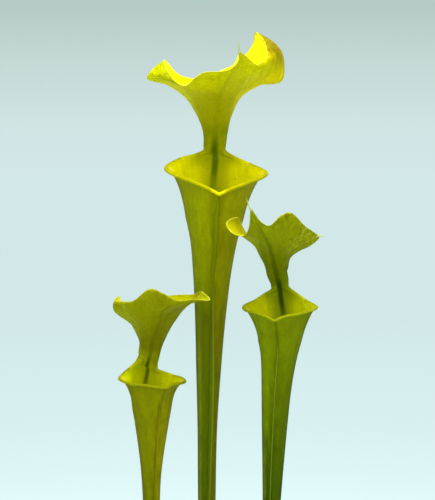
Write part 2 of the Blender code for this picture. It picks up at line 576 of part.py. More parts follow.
def main():
    clear_scene()
    plant = new_collection("yellow_pitcher_plant")
    tools = new_collection("cutters")
    leaf_green = new_material("leaf", (0.26, 0.29, 0.01), 0.45)
    stem_brown = new_material("stem", (0.16, 0.09, 0.04), 0.8)
    mix_brown = new_material("mix", (0.06, 0.035, 0.02), 0.95)
    pot_plastic = new_material("pot", (0.035, 0.045, 0.04), 0.5)

    for leaf in LEAVES:
        make_leaf(leaf, plant, tools, leaf_green)
    stem = new_object("rhizome", *loft(stem_rings()), plant, stem_brown)
    face_out(stem)
    soil = new_object("soil", *loft(soil_rings()), plant, mix_brown)
    face_out(soil)
    trough = as_tool(new_object("stem_trough", *loft(stem_rings(GAP)), tools))
    combine(soil, trough, "DIFFERENCE")
    for leaf in LEAVES:
        hole = as_tool(new_object(leaf["name"] + "_foot", *foot_hole(leaf), tools))
        combine(stem, hole, "DIFFERENCE")
        combine(soil, hole, "DIFFERENCE")
    make_pot(plant, tools, pot_plastic)


main()
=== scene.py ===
"""Looks of the potted yellow pitcher plant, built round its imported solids.

The leaves are worked out in millimetres by the solids' formulas on a finer grid, from tables that were fitted
more closely to the photo: a tube with a keel, a rolled lip, a column and a waved lid, as one sheet with two
faces. The mix, moss, stem and pot follow.
"""
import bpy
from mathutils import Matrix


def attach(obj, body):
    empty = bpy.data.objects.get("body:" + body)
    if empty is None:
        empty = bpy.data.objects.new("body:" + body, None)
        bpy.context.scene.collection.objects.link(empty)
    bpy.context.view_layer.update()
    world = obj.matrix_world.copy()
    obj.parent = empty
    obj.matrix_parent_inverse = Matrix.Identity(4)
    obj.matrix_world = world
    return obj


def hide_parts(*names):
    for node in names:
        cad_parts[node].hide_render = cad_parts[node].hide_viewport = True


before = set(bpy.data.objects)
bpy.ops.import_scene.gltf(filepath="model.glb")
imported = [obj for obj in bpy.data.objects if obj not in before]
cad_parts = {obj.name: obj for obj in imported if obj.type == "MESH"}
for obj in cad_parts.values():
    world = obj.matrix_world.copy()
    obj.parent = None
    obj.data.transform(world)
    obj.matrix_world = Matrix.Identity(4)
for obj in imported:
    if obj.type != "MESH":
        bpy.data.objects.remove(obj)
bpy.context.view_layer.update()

from types import SimpleNamespace

import bmesh
import bpy
import numpy as np

MM = 0.001
DECIMETRE = 100  # in millimetres

# Camera: 1.4 m away and looking down by 8 degrees; the frame is 359 mm high at the plant
AIM = (0.0054, 0.0, 0.487)
VIEW_DISTANCE = 1.4
VIEW_DOWN = np.radians(8)
FRAME_HEIGHT = 0.3589
SENSOR = 36

# Room of revolution round the plant: floor, cove and wall
FLOOR_REACH = 3.6
COVE_RADIUS = 1.2
WALL_TOP = 4.0
LIT_FLOOR_REACH = 0.5
GLOW_FLOOR_REACH = 0.9
FLOOR_DROP = 0.2 * MM
ROOM_SIDES = 120

# Pot, mix and creeping stem, in millimetres, as in the solids
POT_HEIGHT = 130
POT_BASE_RADIUS = 52
POT_BAND_BOTTOM = 108
POT_BAND_RADIUS = 77
POT_WALL_RADIUS = 72
POT_WALL = 4
POT_FLOOR = 6
DRAIN_RADIUS = 4
DRAIN_CIRCLE = 34
DRAIN_HOLES = 4
GAP = 0.3
SOIL_TOP = 117.5
SOIL_MOUND = 1.5
SOIL_BUMP = 0.8
STEM_HALF_LENGTH = 45
STEM_HALF_WIDTH = 10.5
STEM_CROWN = 2.5
STEM_CROWN_SPREAD = 9
STEM_CENTRE_UP = 106.5
STEM_BEND_REACH = 16
STEM_KNOBS = 0.7

# How many sides and rings they have here
POT_SIDES = 160
DRAIN_SIDES = 32
SOIL_SIDES = 300
SOIL_RINGS = 130
STEM_SIDES = 72
STEM_RINGS = 220

# Bevels and roundings of the pot, and heights of what lies on the mix and the stem, in millimetres
POT_RIM_DROP = 2.5
POT_BEVEL = 1.2
POT_FOOT_BEVEL = 1.5
POT_ROUNDING = 1.6
SOIL_CRUMBS = 1.1
STEM_SCARS = 0.35
STEM_ROUGHNESS = 0.18
SHEATH_UP = 112
SHEATH_WALL = 0.4

# What is strewn: the range of its turns about the upright, then the moss's seed, the number of places tried,
# how far it keeps off the pot's wall, the height of the waves from which it grows, and a tuft's leaves
TURN_DRAWN = 6.28
MOSS_SEED = 31
MOSS_TRIED = 9000
MOSS_KEEP_OFF = 0.8
MOSS_FROM = 0.55
MOSS_LEAVES = 5

# Leaf: the solids' shape numbers
LIP_ROWS_IN_TABLE = 7
SOLID_TUBE_ROWS = 9
TUBE_DEPTH = 1.02
FRONT_RIDGE = 0.05
WALL_RISE = 0.42
UPRIGHT_TO = 17
FLARED_FROM = 72
SEAM_ANGLE = 176

# Fineness of the leaf's sheet
LIP_COLUMNS = 60
BACK_COLUMNS = 48
COLUMN_ROWS = 36
ROLL_STEPS = 56
TUBE_ROWS = 70
WALL_ROWS = 28
LID_OVERLAP = 9  # the column's last rows, which the lid's first rows replace
LID_ROWS = 56
COLUMN_GROWTH = np.linspace(0, 1, COLUMN_ROWS + 1)[:-LID_OVERLAP]
KEEL_ROWS = 260
KEEL_SIDES = 12

# Thickness of the sheet in its middle, on the lip and at the lid's rim, and how far it thins towards both
LEAF_WALL = 0.85
LIP_WALL = 0.5
MARGIN_WALL = 0.35
LIP_TAPER = 4
MARGIN_TAPER = 9

# Share of the way up the column where the back's bulge ends, and level where the lid's columns are even
HIND_BULGE_TO = 0.55
SPREAD_BY = 0.45

# Keel, in millimetres: half its thickness at the root, how much thinner its edge is, its least reach, how
# full it is between its ends, and how deep its root sinks into the tube; then its last stations, as shares of
# the way up the throat's wall
KEEL_HALF_THICKNESS = 0.62
KEEL_THINNING = 0.55
KEEL_LEAST = 0.2
KEEL_FULLNESS = 0.7
KEEL_SINK = 0.25
KEEL_LAST = (0.45, 0.95)

# Fields of the sheet: a distance past all others, the angles between which the lip ends at the back, and on
# the column the distance off that makes a place of 1, the side at its margins and the growth of place on them
FAR = 99.0
LIP_FROM = 25
LIP_WHOLE_FROM = 50
COLUMN_REACH = 30
COLUMN_SIDE = 0.3
COLUMN_PLACE = 0.1

# Margin stations, from the spout round one side to the top of the column: the angle round the tube (180 is
# the spout), the lip's flare from upright, how far the roll has grown to the column's, and the roll's turn
MARGIN = np.array([
    (180, 55, 0.0, 230), (155, 55, 0.0, 230), (128, 58, 0.0, 230), (105, 62, 0.0, 230), (88, 62, 0.0, 230),
    (70, 55, 0.02, 225), (48, 40, 0.06, 215), (30, 20, 0.15, 200), (17, 8, 0.38, 190), (8, 0, 0.7, 186),
    (4, 0, 0.9, 186), (2, 0, 1.0, 186)])

# Heights of the lid's sections, as shares of the way from the top of the column to the rim
LID_LEVELS = np.array([0, 0.2, 0.38, 0.6, 0.8, 0.9, 1.0])

# Leaf tables, in millimetres, and in degrees for turn.
# mouth and turn: place of the leaf's mouth in the plant, and the leaf's turn about the upright.
# lip_roll and column_roll: radius of the rolled margin on the lip and at the top of the column.
# hind_bulge and column_bulge: how far the back bows out at the mouth, and the column forwards at its top.
# wall_flare: for what share of its length the throat's wall keeps the lip's slope.
# keel: how far the keel stands out where it is widest.
# sway: how far the keel's edge leans to the right of its root, at shares of the way up the keel.
# margin: back, then across and up of the left margin, then of the right one, at the margin stations.
# rings: the lid's two lowest sections by their front, left, right and hind points.
# lid: place round the section (-1 and 1 meet behind, 0 is the midrib), then the belly, the curl, the rim.
# bends: how far the lobe bulges between curl and rim, as a share of its last slope, at places round it.
# tube: up, across, back and radius, from the foot to the throat.
TALL = dict(
    name="pitcher_tall", mouth=(4.5, 20, 542), turn=0, lip_roll=1.0, column_roll=5.4, hind_bulge=3.0,
    column_bulge=0.5, wall_flare=0.22, keel=5.0,
    sway=((0, 0), (0.3, 2.3), (0.38, 3.3), (0.5, 4.5), (0.57, 3.9), (0.63, 2.7), (0.7, 1.6), (0.74, 2.1),
          (0.77, 2.8), (0.84, 2.5), (1, 0)),
    margin=[
        (-33, 2, -12.5, 2, -12.5), (-30, -8, -7.5, 11.5, -8.6), (-22, -18.5, -4, 23, -5),
        (-9, -30.2, -0.9, 31.5, -3.5), (1, -36, 2, 36.1, -1.2), (9, -33.4, 4.7, 32.5, 0.8),
        (16, -25, 7.8, 23.8, 3.6), (21, -15.6, 8.9, 14.5, 6.4), (23.2, -7.5, 10.9, 5.3, 10.1),
        (23, -4.8, 15, 2.3, 14.4), (22, -3.7, 21.5, 2.1, 21.5), (20.5, -4.1, 27.5, 2.7, 27.5)],
    rings=[
        ((0.5, 13, 41), (-15.2, 24, 41), (11.5, 24, 40.5), (-0.5, 33, 43.5)),
        ((2, 0, 53), (-22, 20, 51.5), (16.7, 20, 51.5), (0, 36, 52))],
    lid=[
        (-1.0, (-1.5, 36, 58), (-1.5, 32, 65), (-1, 26, 70)),
        (-0.8, (-15.5, 31, 57.5), (-17, 28, 63), (-14.5, 23, 65.5)),
        (-0.62, (-30, 20, 59.8), (-38.5, 15, 65.2), (-28.5, 12, 70)),
        (-0.5, (-36, 10, 62.1), (-49.7, 5, 67.6), (-37, 2, 80)),
        (-0.4, (-31, 2, 62), (-41.5, -3, 68.5), (-33, -8, 70.5)),
        (-0.28, (-20, -7, 59), (-24, -13.5, 62.5), (-22.5, -20.5, 62.5)),
        (-0.16, (-9, -14, 59.5), (-10, -24, 67), (-9, -30, 72.5)),
        (-0.06, (1.5, -19, 62.5), (5, -32, 71.5), (11, -40, 76)),
        (-0.03, (4, -19.6, 63.3), (8.5, -33.6, 73.5), (15.5, -41.8, 80.6)),
        (0.0, (6.5, -20, 64), (12, -35, 75.5), (16, -43, 87)),
        (0.05, (10.5, -18, 64.5), (17.5, -31, 76), (20.5, -38, 84.5)),
        (0.16, (20, -12, 65), (28.5, -22, 72), (28.5, -28, 78)),
        (0.3, (27.5, -2, 63), (39.5, -10, 72.5), (35.5, -18, 85)),
        (0.42, (29.5, 6, 61.7), (45.2, -2, 68.8), (33, -7, 95.5)),
        (0.5, (31, 11, 61.3), (48.6, 4, 68.8), (28.4, 2, 100)),
        (0.62, (26, 20, 61.3), (42, 14, 70.8), (26.6, 11, 92)),
        (0.8, (14.5, 30, 61.5), (20.5, 28, 71.5), (17.5, 22, 79)),
        (1.0, (1.5, 36, 59.5), (2, 32, 65.5), (1.5, 26, 70.5))],
    bends=((-1, 0.2), (-0.6, 0.08), (-0.4, 0.08), (-0.2, 0.2), (0.25, 0.2), (0.42, 0.4), (0.52, 0.42),
           (0.7, 0.2), (1, 0.2)),
    tube=[
        (-438, -4, -14, 3.6), (-402, -4, -11, 4.0), (-352, -5, -6, 4.6), (-297, -6.5, -2, 5.3),
        (-245, -7, 0, 6.1), (-185, -6.5, 0.5, 7.0), (-149, -5.7, 1, 8.6), (-102, -4.1, 0.5, 11.2),
        (-72, -2.9, 0.5, 13.8), (-48, -1.6, 0, 17.3), (-34, -1.1, 0, 20.8)])

LEFT = dict(
    name="pitcher_left", mouth=(-41, -27, 398), turn=22, lip_roll=0.65, column_roll=5.0, hind_bulge=1.8,
    column_bulge=0.4, wall_flare=0.32, keel=3.5,
    sway=((0, 0), (0.17, 0.4), (0.35, 0), (0.52, -0.8), (0.7, 0), (0.87, 0.3), (1, 0)),
    margin=[
        (-22, 2.5, -1.5, 2.5, -1.5), (-19.5, -3.5, -1, 8, 0), (-14, -11, 0, 14.5, -1),
        (-5.5, -18.5, 0, 21.5, -2.5), (2, -23.5, 2, 25.5, -3), (8, -19, 4, 25, -2),
        (12, -12.5, 6.5, 20, -0.9), (14.5, -7.2, 8.2, 14.5, 0.5), (15.5, -3.3, 9.6, 8.6, 2.2),
        (16, 0.6, 12, 6.6, 6.5), (15.5, 2.1, 15.2, 7.2, 12), (14.5, 2.9, 19, 8.2, 18)],
    rings=[
        ((5, 9, 27), (-3.8, 17, 27), (15.6, 17, 25), (7, 23.5, 27.5)),
        ((5, -2, 38.5), (-9.3, 14, 36.5), (18.6, 14, 35), (8, 24, 35))],
    lid=[
        (-1.0, (6.5, 23, 41.5), (5, 21, 47), (3, 18, 52)),
        (-0.8, (-2, 19, 42.5), (-7.5, 17, 49), (-7, 14, 52.5)),
        (-0.62, (-11, 13, 42.5), (-20, 9, 50), (-20.5, 6, 56.5)),
        (-0.54, (-14, 10, 41.9), (-23.9, 6, 51.5), (-23.5, 4, 61)),
        (-0.48, (-15.5, 8, 41.9), (-26.8, 4, 51), (-26.5, 1, 58.5)),
        (-0.4, (-15, 2, 44), (-23.8, -4, 53), (-23, -6, 58.5)),
        (-0.32, (-12, -4, 46), (-19, -12, 55.5), (-18.5, -14, 60)),
        (-0.22, (-7, -9, 49), (-11, -19, 60.5), (-9, -22, 69)),
        (-0.14, (-3, -12, 49.5), (-3, -25, 60.5), (-1, -29, 66)),
        (-0.07, (1, -14, 50), (6, -30, 57.7), (8.5, -34, 61.4)),
        (-0.03, (3.5, -14, 49.8), (11.5, -30.3, 58), (18.5, -37.5, 62.2)),
        (0.0, (6, -14, 49.5), (16, -30, 58.2), (27, -40, 61.2)),
        (0.07, (11, -11, 48.5), (20.5, -25, 58), (25, -34, 66.5)),
        (0.16, (16.5, -7, 47.5), (22, -18, 56.5), (22.5, -24, 63.5)),
        (0.28, (20, -1, 45.5), (23, -8, 54), (20, -12, 61.5)),
        (0.44, (21.5, 7, 43), (21.5, 3, 51.5), (17.5, 0, 59.5)),
        (0.62, (18.5, 14.5, 40.5), (18.5, 12.5, 49), (13.5, 11, 57)),
        (0.82, (13, 20.5, 40.5), (12.5, 19, 47.5), (8.5, 16, 53)),
        (1.0, (9.5, 23.5, 41.5), (8, 21.5, 47), (6.5, 18.5, 51.5))],
    bends=((-1, 0.2), (1, 0.2)),
    tube=[
        (-294, 20.5, 15.5, 3.2), (-258, 15.5, 13, 3.4), (-208, 9, 8.5, 3.9), (-148, 2.3, 3.3, 4.6),
        (-88, -0.9, 0.4, 5.7), (-72, -0.9, 0.4, 6.5), (-56, -0.7, 0.3, 8.1), (-40, -0.5, 0.2, 10.4),
        (-29, -0.3, 0.3, 12.1), (-23, -0.3, 0.3, 13.2)])

RIGHT = dict(
    name="pitcher_right", mouth=(49.5, -30, 450.5), turn=-8, lip_roll=0.65, column_roll=4.7, hind_bulge=2.0,
    column_bulge=0.4, wall_flare=0.12, keel=3.5,
    sway=((0, 0), (0.17, 0.4), (0.35, 0.3), (0.52, -0.4), (0.7, 0.3), (0.87, 0.3), (1, 0)),
    margin=[
        (-25, -1, -5, -1, -5), (-23, -8, -2, 5.5, -2), (-16, -16.5, -1, 13.5, -1.5),
        (-6, -23, -1.5, 20.5, -1), (1, -26, -0.5, 25.5, 0.5), (8, -24.5, 0.5, 22.5, 1.5),
        (13, -18.5, 2.5, 16, 3.5), (16.5, -12.5, 5.6, 9, 6.8), (18, -6.4, 8.3, 2.4, 9.8),
        (18, -4.7, 12, 0.1, 12.5), (17, -5, 15.5, -1, 16), (15.5, -6.1, 19.5, -1.9, 20)],
    rings=[
        ((-5, 9.5, 28), (-12.7, 17.5, 27), (3.4, 17.5, 25.5), (-6, 25, 26)),
        ((-6, 1, 37), (-16.1, 15, 34.5), (5, 15.5, 32.5), (-6, 26, 32))],
    lid=[
        (-1.0, (-9, 25, 37.5), (-11.5, 22, 41.5), (-14, 19, 44)),
        (-0.84, (-15, 21, 39), (-21, 18, 44), (-25, 15, 49.5)),
        (-0.72, (-18.5, 16.5, 40.5), (-26, 13, 48), (-29, 11, 57.5)),
        (-0.62, (-19.5, 12, 42), (-29, 9, 51), (-31, 7, 62.5)),
        (-0.48, (-19.8, 6, 44), (-30.5, 1, 52.5), (-38, -3, 59.5)),
        (-0.36, (-16, 0, 45.5), (-26.5, -8, 52), (-33, -12, 54)),
        (-0.22, (-14, -7, 47.5), (-19.5, -16, 52.5), (-22.5, -23, 53.5)),
        (-0.09, (-10.5, -12, 47.5), (-14.5, -23, 58), (-18, -31, 62.5)),
        (0.0, (-7.5, -14, 48.5), (-11.5, -26, 60), (-16.5, -35, 73.5)),
        (0.09, (-5.5, -13, 48.5), (-7.5, -23, 58.5), (-12, -30, 65.5)),
        (0.2, (-2, -10, 48.5), (-2.5, -18, 57), (-5, -24, 61)),
        (0.3, (1, -6, 47.5), (3.5, -13, 59.5), (2.5, -17, 67.5)),
        (0.38, (5.5, -2, 46), (11, -7, 58), (8.5, -11, 68.5)),
        (0.47, (9, 4, 41.5), (17, 0, 51), (16.5, -4, 59.5)),
        (0.56, (11.7, 9, 39), (21, 5.5, 44.8), (26.5, 3, 51)),
        (0.74, (3, 20, 38), (8.5, 17, 41.5), (12.5, 14, 47)),
        (1.0, (-6.5, 25.5, 37.5), (-9.5, 22.5, 41.5), (-12, 19.5, 44))],
    bends=((-1, 0.2), (1, 0.2)),
    tube=[
        (-346.5, -24, 22, 3.3), (-310.5, -20.5, 18.5, 3.6), (-260.5, -15, 11, 4.2), (-200.5, -9, 3, 5.0),
        (-140, -5.3, -1, 6.1), (-112.5, -4.4, -0.5, 7.3), (-81.5, -3.3, -0.5, 8.9), (-61.5, -2.4, -0.5, 10),
        (-41, -1, 0, 11.8), (-31.5, -0.3, 0, 13.2), (-24.5, 0, 0, 14.9)])

LEAVES = (TALL, LEFT, RIGHT)


# Mesh helpers

def unit(vectors):
    return vectors / np.maximum(np.linalg.norm(vectors, axis=-1, keepdims=True), 1e-9)


def ramp(values, low, high):
    """Smooth step: 0 below low, 1 above high, 3t^2 - 2t^3 between."""
    t = np.clip((values - low) / (high - low), 0, 1)
    return t * t * (3 - 2 * t)


def arc(points, axis):
    """Length along one axis of a grid of points, from its first row or column."""
    step = np.linalg.norm(np.diff(points, axis=axis), axis=-1)
    start = np.zeros_like(np.take(step, [0], axis=axis))
    return np.concatenate([start, np.cumsum(step, axis=axis)], axis=axis)


def quads(ids):
    """Faces of a grid of point numbers, one for each cell."""
    return np.stack([ids[:-1, :-1], ids[:-1, 1:], ids[1:, 1:], ids[1:, :-1]], -1).reshape(-1, 4)


def wrap(ids):
    """The grid with its first column repeated at the end, so that its faces close round it."""
    return np.concatenate([ids, ids[:, :1]], 1)


def numbered(grid):
    """Point numbers of a grid of points, row by row."""
    return np.arange(grid[..., 0].size).reshape(grid.shape[:-1])


def full_turn(count):
    """Angles of even steps round a full turn, in radians."""
    return np.arange(count) * 2 * np.pi / count


def turned(points, angle):
    """Points turned about the upright by an angle, or by one for each of them."""
    c, s = np.cos(angle), np.sin(angle)
    x, y, z = points[..., 0], points[..., 1], points[..., 2]
    return np.stack([x * c - y * s, x * s + y * c, z], -1)


def turned_profile(line, turn):
    """Rings of a profile of radii and heights turned about the upright, one ring for each of its points."""
    return np.stack([line[:, :1] * np.cos(turn), line[:, :1] * np.sin(turn),
                     np.repeat(line[:, 1:], len(turn), 1)], -1)


def add_mesh(name, points, faces, material, fields=None):
    """Smooth mesh from points in metres. Each field is a number for every point, kept as an attribute."""
    mesh = bpy.data.meshes.new(name)
    mesh.from_pydata(points.tolist(), [], [list(face) for part in faces for face in part])
    for key, values in (fields or {}).items():
        layer = mesh.attributes.new(key, "FLOAT", "POINT")
        layer.data.foreach_set("value", np.asarray(values, np.float32).ravel())
    mesh.shade_smooth()
    mesh.materials.append(material)
    item = bpy.data.objects.new(name, mesh)
    bpy.context.scene.collection.objects.link(item)
    return item


def add_piece(name, points, faces, material, node, fields=None):
    """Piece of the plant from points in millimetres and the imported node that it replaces."""
    piece = add_mesh(name, np.asarray(points) * MM, faces, material, fields)
    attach(piece, "root")
    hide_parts(node)
    return piece


# Leaf surface

def smooth(knots, values, at):
    """Cubic through the values at the knots, sloped there as the mean of the two chords by nearness."""
    knots = np.asarray(knots, float)
    values = np.asarray(values, float)
    step = np.diff(knots)[:, None]
    chord = np.diff(values, axis=0) / step
    slope = np.empty_like(values)
    slope[1:-1] = (chord[:-1] * step[1:] + chord[1:] * step[:-1]) / (step[:-1] + step[1:])
    slope[0] = 1.5 * chord[0] - 0.5 * slope[1]
    slope[-1] = 1.5 * chord[-1] - 0.5 * slope[-2]
    i = np.clip(np.searchsorted(knots, at, side="right") - 1, 0, len(knots) - 2)
    h = step[i]
    t = (np.asarray(at) - knots[i])[..., None] / h
    return ((1 + 2 * t) * (1 - t) ** 2 * values[i] + t * (1 - t) ** 2 * h * slope[i]
            + t * t * (3 - 2 * t) * values[i + 1] - t * t * (1 - t) * h * slope[i + 1])


def margin_path(leaf, side):
    """Line where one margin starts to roll (side -1 left, 1 right), and the roll's frame, radius and turn."""
    rows = np.array(leaf["margin"], float)
    across_up = rows[:, 1:3] if side < 0 else rows[:, 3:5]
    angle, flare, grown, turn = MARGIN.T
    radius = leaf["lip_roll"] + (leaf["column_roll"] - leaf["lip_roll"]) * grown
    table = np.column_stack([across_up[:, 0], rows[:, 0], across_up[:, 1], angle, flare, radius, turn])
    knots = np.arange(len(table))
    at = np.concatenate([np.linspace(0, LIP_ROWS_IN_TABLE, LIP_COLUMNS + 1),
                         np.linspace(LIP_ROWS_IN_TABLE, knots[-1], COLUMN_ROWS + 1)[1:]])
    found = smooth(knots, table, at)
    nudge = 0.001
    ahead = smooth(knots, table, np.minimum(at + nudge, knots[-1]))
    behind = smooth(knots, table, np.maximum(at - nudge, 0))
    tangent = unit((ahead - behind)[:, :3])
    phi, beta = np.radians(found[:, 3]), np.radians(found[:, 4])
    out = np.stack([side * np.sin(phi) * np.cos(beta), np.cos(phi) * np.cos(beta), -np.sin(beta)], 1)
    edge = unit(side * np.cross(out, tangent))
    out = unit(side * np.cross(tangent, edge))
    # both sides share the spout, so the frame there lies in the leaf's middle plane
    edge[0] = (0, -np.sin(beta[0]), np.cos(beta[0]))
    out[0] = (0, -np.cos(beta[0]), -np.sin(beta[0]))
    return dict(line=found[:, :3], edge=edge, out=out, angle=phi, radius=found[:, 5],
                turn=np.radians(found[:, 6]))


def roll(path):
    """Rolled margin: an arc of the roll's radius that leaves the line along the sheet and curls outward."""
    g = path["turn"][:, None, None] * np.linspace(0, 1, ROLL_STEPS + 1)[None, :, None]
    r = path["radius"][:, None, None]
    line, edge, out = (path[name][:, None] for name in ("line", "edge", "out"))
    return line + r * (np.sin(g) * edge + (1 - np.cos(g)) * out)


def tube_sections(leaf, up, angle):
    """Sections of the tube at the given heights: circles by the tube table, with a low ridge in front."""
    stations = np.array(leaf["tube"], float)
    across, back, radius = smooth(stations[:, 0], stations[:, 1:], up).T
    s, c = np.sin(angle), np.cos(angle)
    deep = TUBE_DEPTH * (1 + FRONT_RIDGE * np.clip(-c, 0, 1) ** 12)
    return np.stack([across[:, None] + radius[:, None] * s, back[:, None] + radius[:, None] * c * deep,
                     np.repeat(up[:, None], len(angle), 1)], -1)


def body_grid(leaf, left, right, share):
    """Tube and throat wall, from foot to margins: tube sections, then cubic arcs up to the lip's slope."""
    k = LIP_COLUMNS
    hind = left["line"][k] * (1 - share) + right["line"][k] * share
    hind[:, 1] += leaf["hind_bulge"] * (4 * share * (1 - share))[:, 0]
    hind_angle = -left["angle"][k] * (1 - share[:, 0]) + right["angle"][k] * share[:, 0]
    upright = np.array((0.0, 0.0, 1.0))
    top = np.concatenate([left["line"][:k], hind, right["line"][k - 1:0:-1]])
    angle = np.concatenate([-left["angle"][:k], hind_angle, right["angle"][k - 1:0:-1]])
    end = np.concatenate([left["edge"][:k], [upright] * len(share), right["edge"][k - 1:0:-1]])
    far = ramp(np.degrees(np.abs(angle)), UPRIGHT_TO, FLARED_FROM)[:, None]
    end = unit(end * far + upright * (1 - far))
    up = np.linspace(leaf["tube"][0][0], leaf["tube"][-1][0], TUBE_ROWS + 1)
    tube = tube_sections(leaf, up, angle)
    start = tube[-1]
    reach = np.linalg.norm(top - start, axis=-1, keepdims=True)
    # the solids leave the tube along their last coarse row, about this far down
    slope_from = leaf["tube"][-1][0] - (up[-1] - up[0]) / SOLID_TUBE_ROWS
    low = tube_sections(leaf, np.array([slope_from]), angle)[0]
    p1 = start + unit(start - low) * reach * WALL_RISE
    p2 = top - end * reach * leaf["wall_flare"]
    t = np.linspace(0, 1, WALL_ROWS + 1)[1:, None, None]
    wall = (1 - t) ** 3 * start + 3 * (1 - t) ** 2 * t * p1 + 3 * (1 - t) * t * t * p2 + t ** 3 * top
    return np.concatenate([tube, wall]), angle


def column_grid(leaf, left, right, share):
    """Front face of the column: straight from the left margin to the right one, then bowed by a parabola.

    It bows backwards at the mouth, by a bulge that fades upwards in a smooth step, and forwards at its top.
    """
    k = LIP_COLUMNS
    grid = left["line"][k:, None] * (1 - share) + right["line"][k:, None] * share
    way = np.linspace(0, 1, COLUMN_ROWS + 1)
    bulge = leaf["hind_bulge"] * (1 - ramp(way, 0, HIND_BULGE_TO)) - leaf["column_bulge"] * way
    grid[..., 1] += bulge[:, None] * (4 * share * (1 - share))[:, 0]
    return grid


def lid_grid(leaf, sections):
    """Lid and the column's last stretch, each row a blend by one cubic up the sheet.

    The cubic passes three sections of the column, two rings, belly, curl, bend and rim, and the sheet starts
    at the second of them. The columns start at the places of the column's top section and spread evenly over
    the table higher up. Level 0 is the column's top and level 1 the rim.
    """
    middle = ROLL_STEPS + BACK_COLUMNS // 2
    length = arc(sections[-1], 0)
    start = np.where(length < length[middle], length / length[middle] - 1,
                     (length - length[middle]) / (length[-1] - length[middle]))
    table = np.array([(row[0], *row[1], *row[2], *row[3]) for row in leaf["lid"]])
    midrib = int(np.searchsorted(table[:, 0], 0))
    index = np.interp(np.arange(len(start)), [0, middle, len(start) - 1], [0, midrib, len(table) - 1])
    even = np.interp(index, np.arange(len(table)), table[:, 0])
    low, first, top = (section.mean(0) for section in sections)
    ring = np.mean([leaf["rings"][0][i] for i in range(4)], axis=0)
    scale = LID_LEVELS[1] / np.linalg.norm(ring - top)
    foot = -scale * np.linalg.norm(top - first)
    under = foot - scale * np.linalg.norm(first - low)
    level = np.concatenate([np.linspace(foot, 0, LID_OVERLAP + 1)[:-1], np.linspace(0, 1, LID_ROWS + 1)])
    spread = ramp(level, 0, SPREAD_BY)[:, None]
    place = start * (1 - spread) + even * spread

    belly, curl, rim = (smooth(table[:, 0], table[:, i:i + 3], place) for i in (1, 4, 7))
    rise, lean = (np.linalg.norm(b - a, axis=-1, keepdims=True) for a, b in ((belly, curl), (curl, rim)))
    bulge = np.interp(place, *np.array(leaf["bends"]).T)[..., None]
    bend = (curl + rim) / 2 + bulge * (curl - belly) * np.minimum(1, lean / rise)
    column = [np.stack([np.interp(place, start, section[:, i]) for i in range(3)], -1)
              for section in sections]
    omega = np.radians(SEAM_ANGLE) * place
    s, c = np.sin(omega)[..., None], np.cos(omega)[..., None]
    rings = []
    for quarters in leaf["rings"]:
        front, left, right, hind = np.array(quarters, float)
        centre = (left + right) / 2
        rings.append(centre + np.abs(s) * (np.where(s < 0, left, right) - centre)
                     + np.abs(c) * (np.where(c > 0, front, hind) - centre))
    controls = np.stack([*column, *rings, belly, curl, bend, rim])
    knots = np.concatenate([[under, foot], LID_LEVELS])
    weights = smooth(knots, np.eye(len(knots)), level)
    return np.einsum("rk,krcx->rcx", weights, controls), place, level


class Sheet:
    """Middle surface of a leaf, gathered grid by grid: points, their fields, and quads that face the throat.

    rise: height from the mouth in decimetres. grow: 0 on the body, 0 to 1 up the column, 1 to 2 up the lid.
    place: 0 along the back line and the midrib, 1 at the spout or where the lid's ends meet. off: distance
    from that line. side: -1 left to 1 right, and on the lid the place with its sign. lip: distance down from
    where the lip rolls, less than 0 on the roll, and far off at the back of the mouth. edge: distance from
    the lid's rim. The distances are in millimetres.
    """

    def __init__(self):
        self.points = []
        self.fields = []
        self.faces = []
        self.count = 0

    def add(self, grid, **fields):
        """Adds a grid of points with its fields and gives their numbers."""
        ids = self.count + numbered(grid)
        self.count += ids.size
        self.points.append(grid.reshape(-1, 3))
        self.fields.append({key: np.broadcast_to(value, ids.shape).ravel() for key, value in fields.items()})
        return ids

    def joined(self):
        """All points, faces and fields, each in one array."""
        fields = {key: np.concatenate([part[key] for part in self.fields]) for key in self.fields[0]}
        return np.concatenate(self.points), np.concatenate(self.faces), fields


def add_body(sheet, body, angle):
    """Adds tube and throat; gives the point numbers, the foot's triangles and the mouth's distances off."""
    around = arc(body, 1)
    off = np.abs(around - around[:, LIP_COLUMNS + BACK_COLUMNS // 2, None])
    off = np.where(np.arange(body.shape[1]) == 0, off[:, 1:2], off)
    down = arc(body[::-1], 0)[::-1] + FAR * ramp(np.degrees(np.abs(angle)), LIP_WHOLE_FROM, LIP_FROM)
    ids = sheet.add(body, rise=body[..., 2] / DECIMETRE, grow=0, place=np.abs(angle) / np.pi, off=off,
                    side=np.sin(angle), lip=down, edge=FAR)
    pole = sheet.add(body[:1, :1] * 0 + body[0].mean(0), rise=body[0, 0, 2] / DECIMETRE, grow=0, place=0.5,
                     off=5, side=0, lip=FAR, edge=FAR)[0, 0]
    sheet.faces.append(quads(wrap(ids)))
    foot = wrap(ids[:1])[0]
    return ids, np.stack([foot[1:], foot[:-1], np.full(len(foot) - 1, pole)], -1), off[-1]


def add_column(sheet, column, share, mouth_ids):
    """Adds the column's face above the mouth; gives its point numbers and their distances off."""
    wide = arc(column, 1)
    off = np.abs(wide - wide[:, BACK_COLUMNS // 2, None])
    ids = sheet.add(column[1:], rise=column[1:, :, 2] / DECIMETRE, grow=COLUMN_GROWTH[1:, None],
                    place=off[1:] / COLUMN_REACH, off=off[1:], side=(2 * share.T - 1) * COLUMN_SIDE,
                    lip=FAR, edge=FAR)
    ids = np.concatenate([mouth_ids[None, LIP_COLUMNS:LIP_COLUMNS + BACK_COLUMNS + 1], ids])
    sheet.faces.append(quads(ids))
    return ids, off


